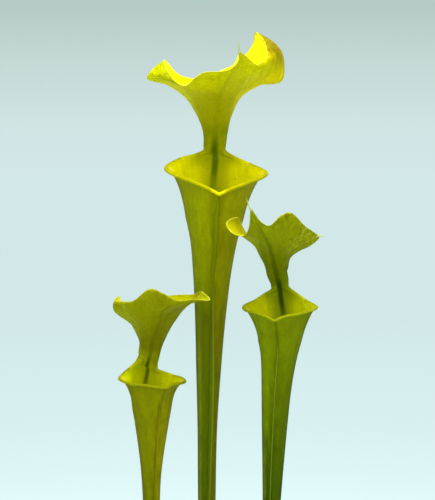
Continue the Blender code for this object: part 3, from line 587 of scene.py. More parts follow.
def along_margin(mouth, column, side):
    """Values from the spout round one side of the mouth (-1 left, 1 right) and up that side of the column."""
    if side < 0:
        return np.concatenate([mouth[:LIP_COLUMNS + 1], column[1:, 0]])
    return np.concatenate([mouth[:1], mouth[::-1][:LIP_COLUMNS], column[1:, -1]])


def add_roll(sheet, path, grid, side, line_off, line_ids, spout_ids):
    """Adds a rolled margin and gives its point numbers. The right one shares the left one's spout."""
    rolled = arc(grid, 1)
    grow = np.concatenate([np.zeros(LIP_COLUMNS), COLUMN_GROWTH])[:, None]
    angle = path["angle"][:len(grid), None]
    hind = FAR * ramp(np.degrees(angle), LIP_WHOLE_FROM, LIP_FROM)
    fields = dict(rise=path["line"][:len(grid), 2:] / DECIMETRE, grow=grow,
                  place=angle / np.pi + grow * COLUMN_PLACE, off=line_off[:, None] + rolled,
                  side=side * np.sin(angle), lip=hind - rolled, edge=FAR)
    first = len(spout_ids)
    ids = sheet.add(grid[first:, 1:], **{key: np.broadcast_to(value, grid.shape[:-1])[first:, 1:]
                                         for key, value in fields.items()})
    ids = np.concatenate([line_ids[:, None], np.concatenate([*spout_ids, ids])], 1)
    sheet.faces.append(quads(ids[:, ::side]))
    return ids


def add_lid(sheet, lid, place, level, top_ids):
    """Adds the lid above the top row of the column and its rolls."""
    across = arc(lid, 1)
    off = np.abs(across - across[:, ROLL_STEPS + BACK_COLUMNS // 2, None])
    to_seam = np.minimum(across, across[:, -1:] - across)
    to_rim = arc(lid[::-1], 0)[::-1]
    # below the column's top the growth goes on from the column's last row
    grow = 1 + np.where(level < 0, level / -level[0] * (1 - COLUMN_GROWTH[-1]), level)
    ids = sheet.add(lid[1:], rise=lid[1:, :, 2] / DECIMETRE, grow=grow[1:, None], place=np.abs(place[1:]),
                    off=off[1:], side=place[1:], lip=FAR, edge=np.minimum(to_seam, to_rim)[1:])
    sheet.faces.append(quads(np.concatenate([top_ids[None], ids])))


def leaf_sheet(leaf):
    """Middle surface of a leaf: its points, quads, foot triangles and fields, and the grid of its body."""
    paths = margin_path(leaf, -1), margin_path(leaf, 1)
    share = np.linspace(0, 1, BACK_COLUMNS + 1)[:, None]
    body, angle = body_grid(leaf, *paths, share)
    column = column_grid(leaf, *paths, share)
    rolls = [roll(path) for path in paths]
    sections = [np.concatenate([rolls[0][i][::-1], column[i][1:-1], rolls[1][i]])
                for i in (-1 - 2 * LID_OVERLAP, -1 - LID_OVERLAP, -1)]
    lid, place, level = lid_grid(leaf, sections)

    sheet = Sheet()
    body_ids, cap, mouth_off = add_body(sheet, body, angle)
    column_ids, column_off = add_column(sheet, column[:-LID_OVERLAP], share, body_ids[-1])
    roll_ids = []
    spout_ids = []
    for side, path, grid in zip((-1, 1), paths, rolls):
        line_off = along_margin(mouth_off, column_off, side)
        line_ids = along_margin(body_ids[-1], column_ids, side)
        ids = add_roll(sheet, path, grid[:-LID_OVERLAP], side, line_off, line_ids, spout_ids)
        spout_ids = [ids[:1, 1:]]
        roll_ids.append(ids)
    left, right = roll_ids
    add_lid(sheet, lid, place, level, np.concatenate([left[-1, ::-1], column_ids[-1, 1:-1], right[-1]]))
    points, faces, fields = sheet.joined()
    return points, faces, cap, fields, body


def point_normals(points, faces, cap):
    """Normal of each point: the mean of its faces' normals, each weighing by its area."""
    normals = np.zeros_like(points)
    for group in (faces, cap):
        corners = points[group]
        area = np.cross(corners[:, 2] - corners[:, 0], corners[:, -1] - corners[:, 1])
        if group.shape[1] == 3:
            area = np.cross(corners[:, 1] - corners[:, 0], corners[:, 2] - corners[:, 0])
        for i in range(group.shape[1]):
            np.add.at(normals, group[:, i], area)
    return unit(normals)


def free_edges(faces, cap, count):
    """Edges that only one face uses, each in that face's own direction."""
    pairs = np.concatenate([np.stack([group[:, i], group[:, (i + 1) % group.shape[1]]], 1)
                            for group in (faces, cap) for i in range(group.shape[1])])
    keys = pairs.min(1) * count + pairs.max(1)
    _, first, uses = np.unique(keys, return_index=True, return_counts=True)
    return pairs[first[uses == 1]]


def two_faced(points, faces, cap, fields):
    """Closed leaf: the sheet pushed half its wall each way along its normals, and a strip along its rim.

    The wall thins towards the lip and the rim of the lid. The field inner is 1 on the throat's face and 0
    outside.
    """
    count = len(points)
    normals = point_normals(points, faces, cap)
    wall = MARGIN_WALL + (LEAF_WALL - MARGIN_WALL) * ramp(fields["edge"], 0, MARGIN_TAPER)
    wall -= (LEAF_WALL - LIP_WALL) * ramp(fields["lip"], LIP_TAPER, 0)
    push = normals * wall[:, None] / 2
    rim = free_edges(faces, cap, count)
    strip = np.stack([rim[:, 1], rim[:, 0], rim[:, 0] + count, rim[:, 1] + count], -1)
    solid = [faces.tolist(), cap.tolist(), (faces[:, ::-1] + count).tolist(), (cap[:, ::-1] + count).tolist(),
             strip.tolist()]
    both = {key: np.tile(value, 2) for key, value in fields.items()}
    both["inner"] = np.repeat((1.0, 0.0), count)
    return np.concatenate([points + push, points - push]), solid, both


def placed(points, leaf):
    """Points of a leaf in the plant's frame: turned about the upright, then moved to the mouth's place."""
    return turned(points, np.radians(leaf["turn"])) + np.array(leaf["mouth"], float)


def keel_blade(leaf, body):
    """Keel: a thin blade down the front line, thick at its root, with an edge that leans by the sway table.

    Its reach is its widest reach times the sine of half a turn up it, to the power of its fullness, plus its
    least reach.
    """
    tube = np.linspace(TUBE_ROWS / SOLID_TUBE_ROWS, TUBE_ROWS, SOLID_TUBE_ROWS)
    wall = TUBE_ROWS + WALL_ROWS * np.array(KEEL_LAST)
    stations = np.concatenate([tube, wall])
    way = np.linspace(0, 1, KEEL_ROWS)
    index = np.interp(way * (len(stations) - 1), np.arange(len(stations)), stations)
    front = body[:, 0]
    root = np.stack([np.interp(index, np.arange(len(front)), front[:, i]) for i in range(3)], 1)
    reach = leaf["keel"] * np.sin(np.pi * way) ** KEEL_FULLNESS + KEEL_LEAST
    sway = np.array(leaf["sway"], float)
    wave = smooth(sway[:, 0], sway[:, 1:], way)[:, 0]
    turn = full_turn(KEEL_SIDES)
    out = (1 - np.cos(turn)) / 2
    half = KEEL_HALF_THICKNESS * np.sin(turn) * (1 - KEEL_THINNING * out)
    x = root[:, :1] + wave[:, None] * out + half * (1 + 0.25 * (1 - out))
    y = root[:, 1:2] - reach[:, None] * out + KEEL_SINK
    ring = np.stack([x, y, np.repeat(root[:, 2:], KEEL_SIDES, 1)], -1)
    out_field = np.broadcast_to(out, ring.shape[:-1])
    rise = np.minimum(ring[..., 2], 0) / DECIMETRE
    return closed_rings(placed(ring, leaf), dict(out=out_field, rise=rise))


def closed_rings(rings, fields=None):
    """Surface through rings of equal count, each end closed to a pole in its ring's middle."""
    count = rings.shape[1]
    points = np.concatenate([rings.reshape(-1, 3), rings[0].mean(0)[None], rings[-1].mean(0)[None]])
    ids = wrap(numbered(rings))
    first, last = np.full(count, len(points) - 2), np.full(count, len(points) - 1)
    caps = np.concatenate([np.stack([ids[0, 1:], ids[0, :-1], first], -1),
                           np.stack([ids[-1, :-1], ids[-1, 1:], last], -1)])
    full = {key: np.concatenate([value.ravel(), [value[0].mean(), value[-1].mean()]])
            for key, value in (fields or {}).items()}
    return points, [quads(ids).tolist(), caps.tolist()], full


def thread(path, radii, sides=8, rows=40, aside=(0.3, 1.0, 0.2)):
    """Tapered thread along a smooth curve through the points: rings square to the curve.

    aside is any direction that the curve never takes.
    """
    at = np.linspace(0, len(path) - 1, rows)
    line = smooth(np.arange(len(path)), np.array(path, float), at)
    radius = np.interp(at, np.arange(len(radii)), radii)[:, None, None]
    tangent = unit(np.gradient(line, axis=0))
    side = unit(np.cross(tangent, aside))
    other = np.cross(side, tangent)
    turn = full_turn(sides)[None, :, None]
    rings = line[:, None] + radius * (np.cos(turn) * side[:, None] + np.sin(turn) * other[:, None])
    return closed_rings(rings)


# Materials

def linear(colour):
    """Linear colour with its alpha from red, green and blue as screen values of 0 to 255."""
    c = np.array(colour) / 255
    return (*np.where(c <= 0.04045, c / 12.92, ((c + 0.055) / 1.055) ** 2.4).tolist(), 1)


class Value:
    """Shader socket that takes part in sums: + - * /, some reflected forms and abs() add Math nodes."""

    def __init__(self, paint, socket):
        self.paint = paint
        self.socket = socket

    def __add__(self, other):
        return self.paint.math("ADD", self, other)

    def __radd__(self, other):
        return self.paint.math("ADD", other, self)

    def __sub__(self, other):
        return self.paint.math("SUBTRACT", self, other)

    def __rsub__(self, other):
        return self.paint.math("SUBTRACT", other, self)

    def __mul__(self, other):
        return self.paint.math("MULTIPLY", self, other)

    def __rmul__(self, other):
        return self.paint.math("MULTIPLY", other, self)

    def __truediv__(self, other):
        return self.paint.math("DIVIDE", self, other)

    def __abs__(self):
        return self.paint.math("ABSOLUTE", self)


class Paint:
    """A material and the nodes that colour it. Colours are given as screen values of 0 to 255."""

    def __init__(self, name, roughness=0.5, specular=0.3):
        self.material = bpy.data.materials.new(name)
        self.material.use_nodes = True
        self.tree = self.material.node_tree
        self.shader = self.tree.nodes["Principled BSDF"]
        self.shader.inputs["Roughness"].default_value = roughness
        self.shader.inputs["Specular IOR Level"].default_value = specular

    def node(self, kind, settings, values, out=0):
        """One node: its settings first, then the values or links of its sockets, by name or number."""
        node = self.tree.nodes.new(kind)
        for key, value in settings.items():
            setattr(node, key, value)
        for key, value in values.items():
            self.feed(node.inputs[key], value)
        return Value(self, node.outputs[out])

    def feed(self, socket, value):
        """Links a Value to a socket, or sets a constant on it."""
        if isinstance(value, Value):
            self.tree.links.new(value.socket, socket)
        else:
            socket.default_value = linear(value) if socket.type == "RGBA" else value

    def math(self, operation, *values):
        return self.node("ShaderNodeMath", dict(operation=operation), dict(enumerate(values)))

    def field(self, name):
        return self.node("ShaderNodeAttribute", dict(attribute_name=name), {}, "Fac")

    def where(self, scale=None):
        """Place on the piece in metres, multiplied by a scale for each axis if there is one."""
        place = self.node("ShaderNodeTexCoord", {}, {}, "Object")
        if scale is None:
            return place
        return self.node("ShaderNodeMapping", {}, {"Vector": place, "Scale": scale})

    def step(self, value, low, high):
        """Smooth step of a value: 0 at low, 1 at high; low may be the larger."""
        return self.node("ShaderNodeMapRange", dict(interpolation_type="SMOOTHSTEP"),
                         {0: value, 1: low, 2: high, 3: 0.0, 4: 1.0})

    def mix(self, share, first, second, way="MIX"):
        settings = dict(data_type="RGBA", blend_type=way, clamp_factor=True)
        return self.node("ShaderNodeMix", settings, {0: share, 6: first, 7: second}, 2)

    def stops(self, value, *stops):
        """Colour ramp through (value, colour) stops in the value's own range."""
        low, high = stops[0][0], stops[-1][0]
        shown = self.node("ShaderNodeValToRGB", {}, {0: (value - low) / (high - low)})
        elements = shown.socket.node.color_ramp.elements
        elements.remove(elements[1])
        for i, (at, colour) in enumerate(stops):
            place = (at - low) / (high - low)
            element = elements.new(place) if i else elements[0]
            element.position = place
            element.color = linear(colour)
        return shown

    def noise(self, vector, scale, detail, roughness=0.5, distortion=0.0):
        """Noise of 0 to 1 with so many cells to the metre."""
        return self.node("ShaderNodeTexNoise", {}, {"Vector": vector, "Scale": scale, "Detail": detail,
                                                    "Roughness": roughness, "Distortion": distortion}, "Fac")

    def cells(self, vector, scale):
        """Distance to the nearest edge between random cells."""
        return self.node("ShaderNodeTexVoronoi", dict(feature="DISTANCE_TO_EDGE"),
                         {"Vector": vector, "Scale": scale})

    def lines(self, value, width, wobble):
        """Thin lines where a value is whole: 1 on the line, fading to 0 at width, a share of the spacing."""
        near = self.math("PINGPONG", value + wobble, 0.5)
        return self.step(near, width, 0.0)

    def bump(self, height, depth, strength):
        """Feeds the shader's normal from a height in the range 0 to 1 and its depth in metres."""
        normal = self.node("ShaderNodeBump", {}, {"Strength": strength, "Distance": depth, "Height": height},
                           "Normal")
        self.feed(self.shader.inputs["Normal"], normal)

    def mix_shader(self, share, second):
        """Covers the surface with a mix of the material's own shader and a second one."""
        own = Value(self, self.shader.outputs[0])
        mixed = self.node("ShaderNodeMixShader", {}, {0: share, 1: own, 2: second})
        self.feed(self.tree.nodes["Material Output"].inputs["Surface"], mixed)

    def let_light_through(self, colour, share):
        """Mixes in a see-through glow of one colour, by a share that may vary."""
        self.mix_shader(share, self.node("ShaderNodeBsdfTranslucent", {}, {"Color": colour}))

    def finish(self, colour, roughness):
        self.feed(self.shader.inputs["Base Color"], colour)
        self.feed(self.shader.inputs["Roughness"], roughness)
        return self.material


# Leaf's colours. In these functions, at holds the fields of the sheet and the noises, as leaf_signals says.

def leaf_signals(paint):
    """Fields that Sheet and two_faced describe, noises, and shares of being on the lid and its upper face."""
    keys = ("rise", "grow", "place", "off", "side", "lip", "edge", "inner")
    at = SimpleNamespace(**{key: paint.field(key) for key in keys})
    at.where = paint.where()
    at.mottle = paint.noise(at.where, 70, 3)
    at.cloud = paint.noise(at.where, 22, 2)
    at.grain = paint.noise(at.where, 900, 2)
    at.on_lid = paint.step(at.grow, 0.75, 1.15)
    at.upper = (1 - at.inner) * paint.step(at.grow, 1.0, 1.3)
    return at


def tube_colour(paint, rise, tones):
    """Colour down the outside of the tube by the height from the mouth in decimetres."""
    return paint.stops(rise, *tones["tube"])


def banded(paint, colour, at, tones, bands):
    """Soft bands on the lid: place at its foot and at its rim, half width, start and end, share, tone."""
    for foot, head, half, low, high, share, tone in bands:
        middle = foot + (at.grow - 1) * (head - foot)
        band = paint.step(abs(at.side - middle), half, half * 0.25)
        along = paint.step(at.grow, low - 0.12, low + 0.12) * paint.step(at.grow, high + 0.1, high - 0.1)
        colour = paint.mix(band * along * share, colour, tones[tone])
    return colour


def throat_colour(paint, at, tones):
    """Throat and column: right side toned apart and duller further down, both painted shading, and the
    column's tone reaching into the back of the throat as painted shade under the lid.
    """
    halo = tones["halo"]
    # painted shading from one side: the throat's right side has a tone of its own
    colour = paint.mix(paint.step(at.side, -0.3, 0.5), tones["throat"], tones["throat_right"])
    # painted shade: the throat darkens further down the tube
    colour = paint.mix(paint.step(at.rise, -0.15, -0.9), colour, tones["depth"])
    # painted shade under the lid: the column's darker tone spreads into the back of the throat
    colour = paint.mix(paint.step(at.off, halo, 2) * 0.85, colour, tones["column"])
    by_neck = paint.step(at.rise, -0.03, 0.08) * paint.step(at.off, halo + 8, halo - 5)
    colour = paint.mix(by_neck * 0.7, colour, tones["column"])
    return paint.mix(paint.step(at.grow, 0.0, 1.0), colour, tones["column"])


def tip_share(paint, at, tones):
    """Share of the dull tone by the lid's rim, on both sides of its point."""
    near_rim = paint.step(at.grow, 1.76, 1.93)
    beside_point = paint.step(abs(at.side - 0.03), 0.2, 0.33)
    return near_rim * beside_point * at.inner * tones["tip_dark"]


def lid_colour(paint, at, tip, tones):
    """Underside of the lid: dull at its foot, lighter up it, with each lobe's tone and the dull tip."""
    colour = paint.mix(paint.step(at.grow, 1.1, 1.8), tones["low"], tones["lid"])
    grown = paint.step(at.grow, tones["lobe_from"], tones["lobe_from"] + 0.48)
    on_left = paint.step(at.side, tones["left_from"], tones["left_from"] - 0.27)
    colour = paint.mix(on_left * (0.15 + grown * 0.85), colour, tones["left_lobe"])
    colour = paint.mix(paint.step(at.side, 0.14, 0.46) * grown, colour, tones["right_lobe"])
    right_of_point = paint.step(at.side, -0.1, 0.1)
    dull = paint.mix(right_of_point, tones["low"], tones["flank_low"])
    return paint.mix(tip * (0.6 + right_of_point * 0.35), colour, dull)


def stripe_share(paint, at, tones):
    """Share of the dark stripe up the column, off the middle line and thinning into the lid's midrib."""
    low_lean, lean, high_lean = tones["lean"]
    middle = (lean + paint.step(at.rise, 0.12, -0.2) * (low_lean - lean)
              + paint.step(at.grow, 1.45, 1.95) * (high_lean - lean))
    from_middle = abs(at.off * paint.math("SIGN", at.side) - middle)
    half_width = tones["midrib"] * (1 - paint.step(at.grow, 0.8, 1.9) * 0.45)
    stripe = paint.step(from_middle / half_width, 1.35, 0.35)
    fading = 1 - paint.step(at.grow, 0.45, 1.2) * tones["midrib_fade"]
    stripe = stripe * fading * paint.step(at.rise, -1.2, -0.3)
    weaker_in_throat = 0.66 + paint.step(at.rise, -0.12, 0.0) * 0.34
    return stripe * weaker_in_throat * paint.step(at.grow, 1.98, 1.65) * at.inner


def vein_shares(paint, at):
    """Shares of the veins in the throat, those down the tube, the fan of veins in the lid and their net."""
    wobble = (at.cloud - 0.5) * 0.5
    off_lid = 1 - at.on_lid
    throat = paint.lines(at.off / 9, 0.07, wobble) * off_lid
    tube = paint.lines(at.place * 9, 0.12, wobble) * (1 - at.inner) * off_lid
    fan = paint.lines(at.place * 15, 0.28, wobble) * at.on_lid
    net_at = paint.node("ShaderNodeCombineXYZ", {}, {0: at.place * 34, 1: at.grow * 9, 2: 0.5})
    net = paint.step(paint.cells(net_at, 1.0), 0.09, 0.0) * at.on_lid
    return throat, tube, fan, net


def with_margins(paint, colour, at, tones):
    """Adds the lid's pale rim as a painted highlight, the rolled lip, the throat's bright tone on its spout
    as a painted highlight, and a painted glint in its corners.
    """
    # painted highlight: a pale rim along the lid's edge
    colour = paint.mix(paint.step(at.edge, 1.3, 0.3) * 0.5, colour, tones["rim"])
    colour = paint.mix(paint.step(at.lip, 4.5, 0.4) * at.inner * 0.45, colour, tones["lip"])
    colour = paint.mix(paint.step(at.lip, 0.8, -0.2), colour, tones["lip"])
    # painted highlight: the spout, which faces up, takes the throat's bright tone
    spout = paint.step(at.place, 0.91, 0.97) * paint.step(at.lip, 1.0, -0.2)
    colour = paint.mix(spout * tones["spout_share"], colour, tones["throat"])
    # painted glint: a warm pale highlight just inside the mouth's corners
    corner = paint.step(abs(at.place - 0.49), 0.08, 0.02) * at.inner
    corner = corner * paint.step(at.lip, 8, 5) * paint.step(at.lip, 0.8, 2)
    return paint.mix(corner * 0.3, colour, tones["ridge"])


def with_outside(paint, colour, at, tones):
    """Adds the outside's painted shade beside the keel under the lip, painted shading on the right flank's
    browner tone, the left side lighter as painted light with a pale painted highlight, and painted shade
    along the tube's sides.
    """
    rise, side = at.rise, at.side
    out = (1 - at.inner) * (1 - paint.step(at.grow, 0.0, 0.2))
    # painted shade: a dark band beside the keel, below the lip
    low_reach, more_reach, under_lip_shade_share = tones["groove"]
    reach = low_reach + paint.step(rise, -0.55, -0.18) * more_reach
    groove = paint.step((1 - at.place) / reach, 1.3, 0.4) * paint.step(rise, -1.0, -0.25) * out
    colour = paint.mix(groove * under_lip_shade_share, colour, tones["rib"])
    # the right flank's own browner tone, with painted shading from one side
    flank = paint.step(side, -0.02, 0.3) * (0.3 + paint.step(rise, -0.2, -0.6) * 0.7) * out
    dull = paint.mix(paint.step(rise, -0.9, -1.6), tones["flank"], tones["flank_low"])
    colour = paint.mix(flank * 0.38, colour, dull)
    # painted light: the tube's left side lighter and greener, down to about a decimetre below the mouth
    fresh = paint.step(side, -0.97, -0.85) * paint.step(side, -0.22, -0.5) * paint.step(rise, -0.98, -0.8)
    colour = paint.mix(fresh * out * 0.6, colour, tones["fresh"])
    # painted highlight: a faint pale stripe inside the tube's left side, lower down
    pale = paint.step(side, -0.92, -0.8) * paint.step(side, -0.5, -0.66) * out * paint.step(rise, -0.8, -1.3)
    colour = paint.mix(pale * 0.14, colour, tones["rim"])
    # painted shade: a dark line along the tube's sides, where the surface turns away from the front
    brim = paint.step(abs(side), 0.94, 0.995) * out * paint.step(at.lip, 1.5, 6)
    return paint.mix(brim * tones["brim"], colour, tones["rib"])


def with_grain(paint, colour, at, tones):
    """Adds mottling, grain drawn out upwards and dark specks, less in the throat and on the lid's top."""
    drawn = paint.noise(paint.where((1.0, 1.0, 0.2)), 430, 2)
    shade = at.mottle * 0.22 + paint.noise(at.where, 190, 2) * 0.5 + drawn * 1.1 + at.grain * 1.1 - 1.46
    in_throat = at.inner * paint.step(at.grow, 0.3, 0.0)
    shade = 1 + shade * (1 - in_throat * 0.6 - at.upper * 0.6)
    tint = paint.node("ShaderNodeCombineColor", {}, {0: shade, 1: shade, 2: shade})
    colour = paint.mix(1.0, colour, tint, "MULTIPLY")
    speck = paint.step(paint.noise(at.where, 620, 1), 0.66, 0.73) * paint.step(at.cloud, 0.42, 0.58)
    return paint.mix(speck * (1 - at.upper) * 0.45, colour, tones["rib"])


def leaf_material(name, tones, streaks):
    """Leaf: green foot to yellow-green lid, yellow throat, the lid's upper face bright yellow as painted
    light from above, dark midrib, faint veins, specks.

    tones holds the leaf's own colours, and streaks the soft bands on the underside of its lid.
    """
    paint = Paint(name, specular=0.03)
    at = leaf_signals(paint)
    # painted light: on the lid the outside takes the bright upper tone, as if lit from above
    outer = paint.mix(paint.step(at.grow, 0.95, 1.25), tube_colour(paint, at.rise, tones), tones["upper"])
    # painted shade by the curl and a painted pale rim band on the upper face
    outer = banded(paint, outer, at, tones, tones["upper_bands"])
    tip = tip_share(paint, at, tones)
    inside = paint.mix(at.on_lid, throat_colour(paint, at, tones), lid_colour(paint, at, tip, tones))
    inside = banded(paint, inside, at, tones, streaks)
    stripe = stripe_share(paint, at, tones)
    inside = paint.mix(stripe * 0.92, inside, tones["rib"])
    colour = paint.mix(at.inner, outer, inside)

    throat_veins, tube_veins, fan, net = vein_shares(paint, at)
    veins = (throat_veins * 0.1 + fan * 0.1 + net * 0.07) * at.inner + tube_veins * 0.07
    colour = paint.mix(veins * (1 - stripe), colour, tones["rib"])
    for add in (with_margins, with_outside, with_grain):
        colour = add(paint, colour, at, tones)

    height = at.grain * 0.25 + at.mottle * 0.35 + fan * 0.3 + tube_veins * 0.3 + net * 0.3
    paint.bump(height, 0.00025, 0.6)
    thin = (0.4 + at.on_lid * 0.05) * (1 - stripe * 0.7) * (1 - tip * 0.9) * (1 - at.upper * 0.65)
    paint.let_light_through(tones["glow"], thin)
    return paint.finish(colour, 0.5 + at.mottle * 0.18)


def keel_material(name, tones):
    """Keel: the tube's green, with painted shade at its root and along its edge near the mouth, under the
    lip, and a painted highlight along its edge below that.
    """
    paint = Paint(name, specular=0.03)
    rise, out = paint.field("rise"), paint.field("out")
    mottle = paint.noise(paint.where(), 160, 2)
    dark_to = tones["keel_dark_to"]
    # painted shade under the lip: the edge is dark near the mouth
    near_mouth = paint.step(rise, dark_to - 0.1, dark_to + 0.1)
    edge = paint.step(out, 0.55, 1.0)
    # painted highlight along the edge below that
    light_edge = edge * (1 - near_mouth) * tones["keel_light"]
    colour = paint.mix(light_edge, tube_colour(paint, rise, tones), tones["rim"])
    colour = paint.mix(paint.step(mottle, 0.5, 0.8) * 0.3, colour, tones["flank"])
    # painted shade at the keel's root
    colour = paint.mix(paint.step(out, 0.5, 0.1) * tones["keel_root"], colour, tones["rib"])
    colour = paint.mix(edge * near_mouth * 0.5, colour, tones["rib"])
    paint.bump(mottle, 0.0002, 0.5)
    paint.let_light_through(tones["glow"], 0.25)
    return paint.finish(colour, 0.5 + mottle * 0.15)


def thread_material():
    paint = Paint("dry_thread", specular=0.15)
    grain = paint.noise(paint.where(), 500, 2)
    colour = paint.mix(grain, (126, 142, 56), (170, 180, 104))
    paint.bump(grain, 0.0001, 0.4)
    return paint.finish(colour, 0.5 + grain * 0.1)


# Tones of the tall, the left and the right leaf, as screen values
COLOURS = dict(
    # throat on its left, on its right as painted shading from one side, further down as painted shade, the
    # column, and the stripe up it
    throat=((236, 230, 0), (238, 244, 0), (196, 200, 0)),
    throat_right=((238, 232, 0), (200, 207, 0), (202, 208, 0)),
    depth=((170, 170, 0), (170, 170, 0), (170, 170, 0)),
    column=((133, 141, 0), (148, 157, 0), (105, 123, 0)),
    rib=((56, 80, 0), (60, 68, 0), (12, 40, 0)),
    # lid below at its foot, further up and on its lobes, its upper face brighter as painted light from above,
    # and the painted shade by its curl
    low=((112, 124, 0), (115, 119, 0), (113, 126, 0)),
    lid=((190, 190, 0), (132, 136, 0), (148, 157, 0)),
    left_lobe=((220, 224, 0), (152, 164, 0), (178, 184, 0)),
    right_lobe=((236, 218, 0), (104, 110, 0), (148, 155, 0)),
    upper=((255, 255, 50), (231, 229, 14), (160, 157, 0)),
    curl=((128, 132, 8), (128, 132, 8), (128, 132, 8)),
    # rolled lip, the lid's pale rim as a painted highlight, painted glints, and painted sheen on the lid's
    # underside
    lip=((184, 183, 0), (148, 154, 6), (153, 162, 8)),
    rim=((206, 206, 60), (206, 206, 60), (206, 206, 60)),
    ridge=((255, 222, 90), (255, 222, 90), (255, 222, 90)),
    fold=((232, 232, 90), (175, 185, 70), (180, 192, 70)),
    # tube's right flank high up and low down, its own browner tone with painted shading from one side, its
    # left side lighter as painted light, and light that shines through
    flank=((142, 133, 0), (172, 162, 0), (80, 92, 0)),
    flank_low=((114, 102, 4), (114, 112, 4), (66, 80, 4)),
    fresh=((136, 150, 0), (118, 124, 0), (132, 152, 0)),
    glow=((222, 218, 0), (196, 196, 0), (180, 186, 0)))

# Colours down the outside of each tube, by the height from the mouth in decimetres: darker and greener lower
# down, greener tissue with painted shade
TUBE_COLOURS = (
    # tall tube: the sharp drop from -0.82 to -1.02 is a painted shadow of the left leaf's lid
    ((-4.3, (96, 112, 20)), (-2.3, (60, 87, 0)), (-1.5, (76, 98, 0)), (-1.02, (85, 99, 0)),
     (-0.82, (113, 128, 0)), (-0.2, (134, 144, 0))),
    ((-2.8, (112, 124, 20)), (-0.9, (106, 111, 0)), (-0.4, (128, 127, 0)), (-0.1, (122, 125, 0))),
    ((-3.4, (84, 100, 16)), (-1.3, (54, 84, 0)), (-0.9, (78, 104, 0)), (-0.4, (108, 127, 0)),
     (-0.1, (120, 134, 0))))

# Where the tones lie on each leaf, and their shares; distances are in millimetres
MARKS = dict(
    # how far the column's tone reaches into the throat, as painted shade under the lid
    halo=(18, 17, 13),
    # the stripe's place beside the middle line in the throat, on the column and at the rim, then its half
    # width, and how much of it is gone in the lid
    lean=((-2.2, 0, 0), (-2.8, -1.1, -15), (1.4, 0, 0)), midrib=(2.9, 2.0, 2.35),
    midrib_fade=(0.88, 0.55, 0.42),
    # how far up the lid, and how far to its left, the lobes' tones begin
    lobe_from=(1.0, 1.05, 1.15), left_from=(-0.26, -0.26, -0.14),
    # shares of the dull tip, of the throat's tone on the spout as a painted highlight, and of the painted
    # shade along the tube's sides
    tip_dark=(1.0, 0.0, 0.0), spout_share=(0.95, 0, 0), brim=(0.5, 0.15, 0.25),
    # painted shade beside the keel under the lip: its reach, how much further it reaches near the mouth, its
    # share
    groove=((0.035, 0.06, 0.5), (0.022, 0, 0.3), (0.02, 0, 0.35)),
    # how far down the keel's edge has painted shade under the lip, shares of the painted highlight on its
    # edge below that and of the painted shade at its root
    keel_dark_to=(-0.9, -0.25, -0.25), keel_light=(0.17, 0.06, 0.22), keel_root=(0.25, 0.22, 0.3),
    # soft bands on the lid's upper face, as in banded: on the left leaf, painted shade by the curl and a pale
    # rim as a painted highlight
    upper_bands=(
        (), ((0.05, 0.05, 0.16, 1.5, 2.1, 0.9, "curl"), (0.07, 0.07, 0.025, 1.95, 2.2, 0.6, "rim")), ()))

# Soft bands on the lids' undersides, as in banded: dark bands in the rib tone, and pale streaks that are
# painted sheen and painted highlights along the lid's ridges
STREAKS = {
    "pitcher_tall": (
        (0.0, -0.01, 0.06, 1.05, 1.6, 0.16, "rib"), (0.44, 0.0, 0.014, 1.1, 1.66, 0.4, "ridge"),
        (0.4, 0.03, 0.008, 1.2, 1.7, 0.3, "fold"), (0.47, 0.06, 0.008, 1.3, 1.75, 0.25, "fold"),
        (-0.4, -0.36, 0.04, 1.15, 1.7, 0.22, "fold"), (0.36, 0.5, 0.012, 1.5, 1.98, 0.15, "fold")),
    "pitcher_left": (
        (-0.36, -0.39, 0.015, 1.2, 1.92, 0.45, "fold"), (0.06, 0.02, 0.05, 1.1, 1.8, 0.35, "rib")),
    "pitcher_right": (
        (0.24, 0.5, 0.01, 1.4, 1.98, 0.4, "fold"), (0.27, 0.53, 0.008, 1.45, 1.98, 0.35, "fold"),
        (0.3, 0.57, 0.011, 1.4, 1.98, 0.4, "fold"), (0.34, 0.62, 0.008, 1.5, 1.98, 0.35, "fold"))}

# Threads at the lids' points, in each leaf's frame: the path's points, then the radius at each
THREADS = {
    "pitcher_tall": [([(15.9, -43.2, 86), (15.8, -43.5, 89), (15.7, -43.5, 92), (15.7, -43.3, 95)],
                      (0.7, 0.5, 0.35, 0.15))],
    "pitcher_left": [],
    "pitcher_right": [([(-16.5, -35, 72), (-17.8, -35.2, 75.5), (-18.9, -35.2, 78.5), (-19.7, -35, 81)],
                       (0.6, 0.45, 0.3, 0.15)),
                      ([(24.6, 3.2, 50.2), (27.2, 2.8, 50.9), (30.4, 2.4, 51)], (1.0, 0.7, 0.25))]}


def short_name(leaf):
    return leaf["name"].replace("pitcher_", "")


def make_leaf(leaf):
    """Leaf with its two faces, its keel and the threads at its lid's points."""
    node = leaf["name"]
    short = short_name(leaf)
    which = LEAVES.index(leaf)
    tones = {key: values[which] for key, values in (COLOURS | MARKS).items()}
    tones["tube"] = TUBE_COLOURS[which]
    points, faces, cap, fields, body = leaf_sheet(leaf)
    shell, solid, both = two_faced(points, faces, cap, fields)
    skin = leaf_material("leaf_" + short, tones, STREAKS[node])
    add_piece("leaf_" + short, placed(shell, leaf), solid, skin, node, both)
    blade, blade_faces, blade_fields = keel_blade(leaf, body)
    keel_skin = keel_material("keel_" + short, tones)
    add_piece("keel_" + short, blade, blade_faces, keel_skin, node, blade_fields)
    for i, (path, radii) in enumerate(THREADS[node]):
        line, line_faces, _ = thread(placed(np.array(path, float), leaf), radii)
        add_piece(f"thread_{short}_{i}", line, line_faces, thread_material(), node)


# Pot, mix, moss and stem

def pot_inside(up):
    """Radius of the pot's inner face at a height: it leans out evenly from the base to the band."""
    slope = (POT_WALL_RADIUS - POT_BASE_RADIUS) / POT_BAND_BOTTOM
    return POT_BASE_RADIUS + slope * up - POT_WALL


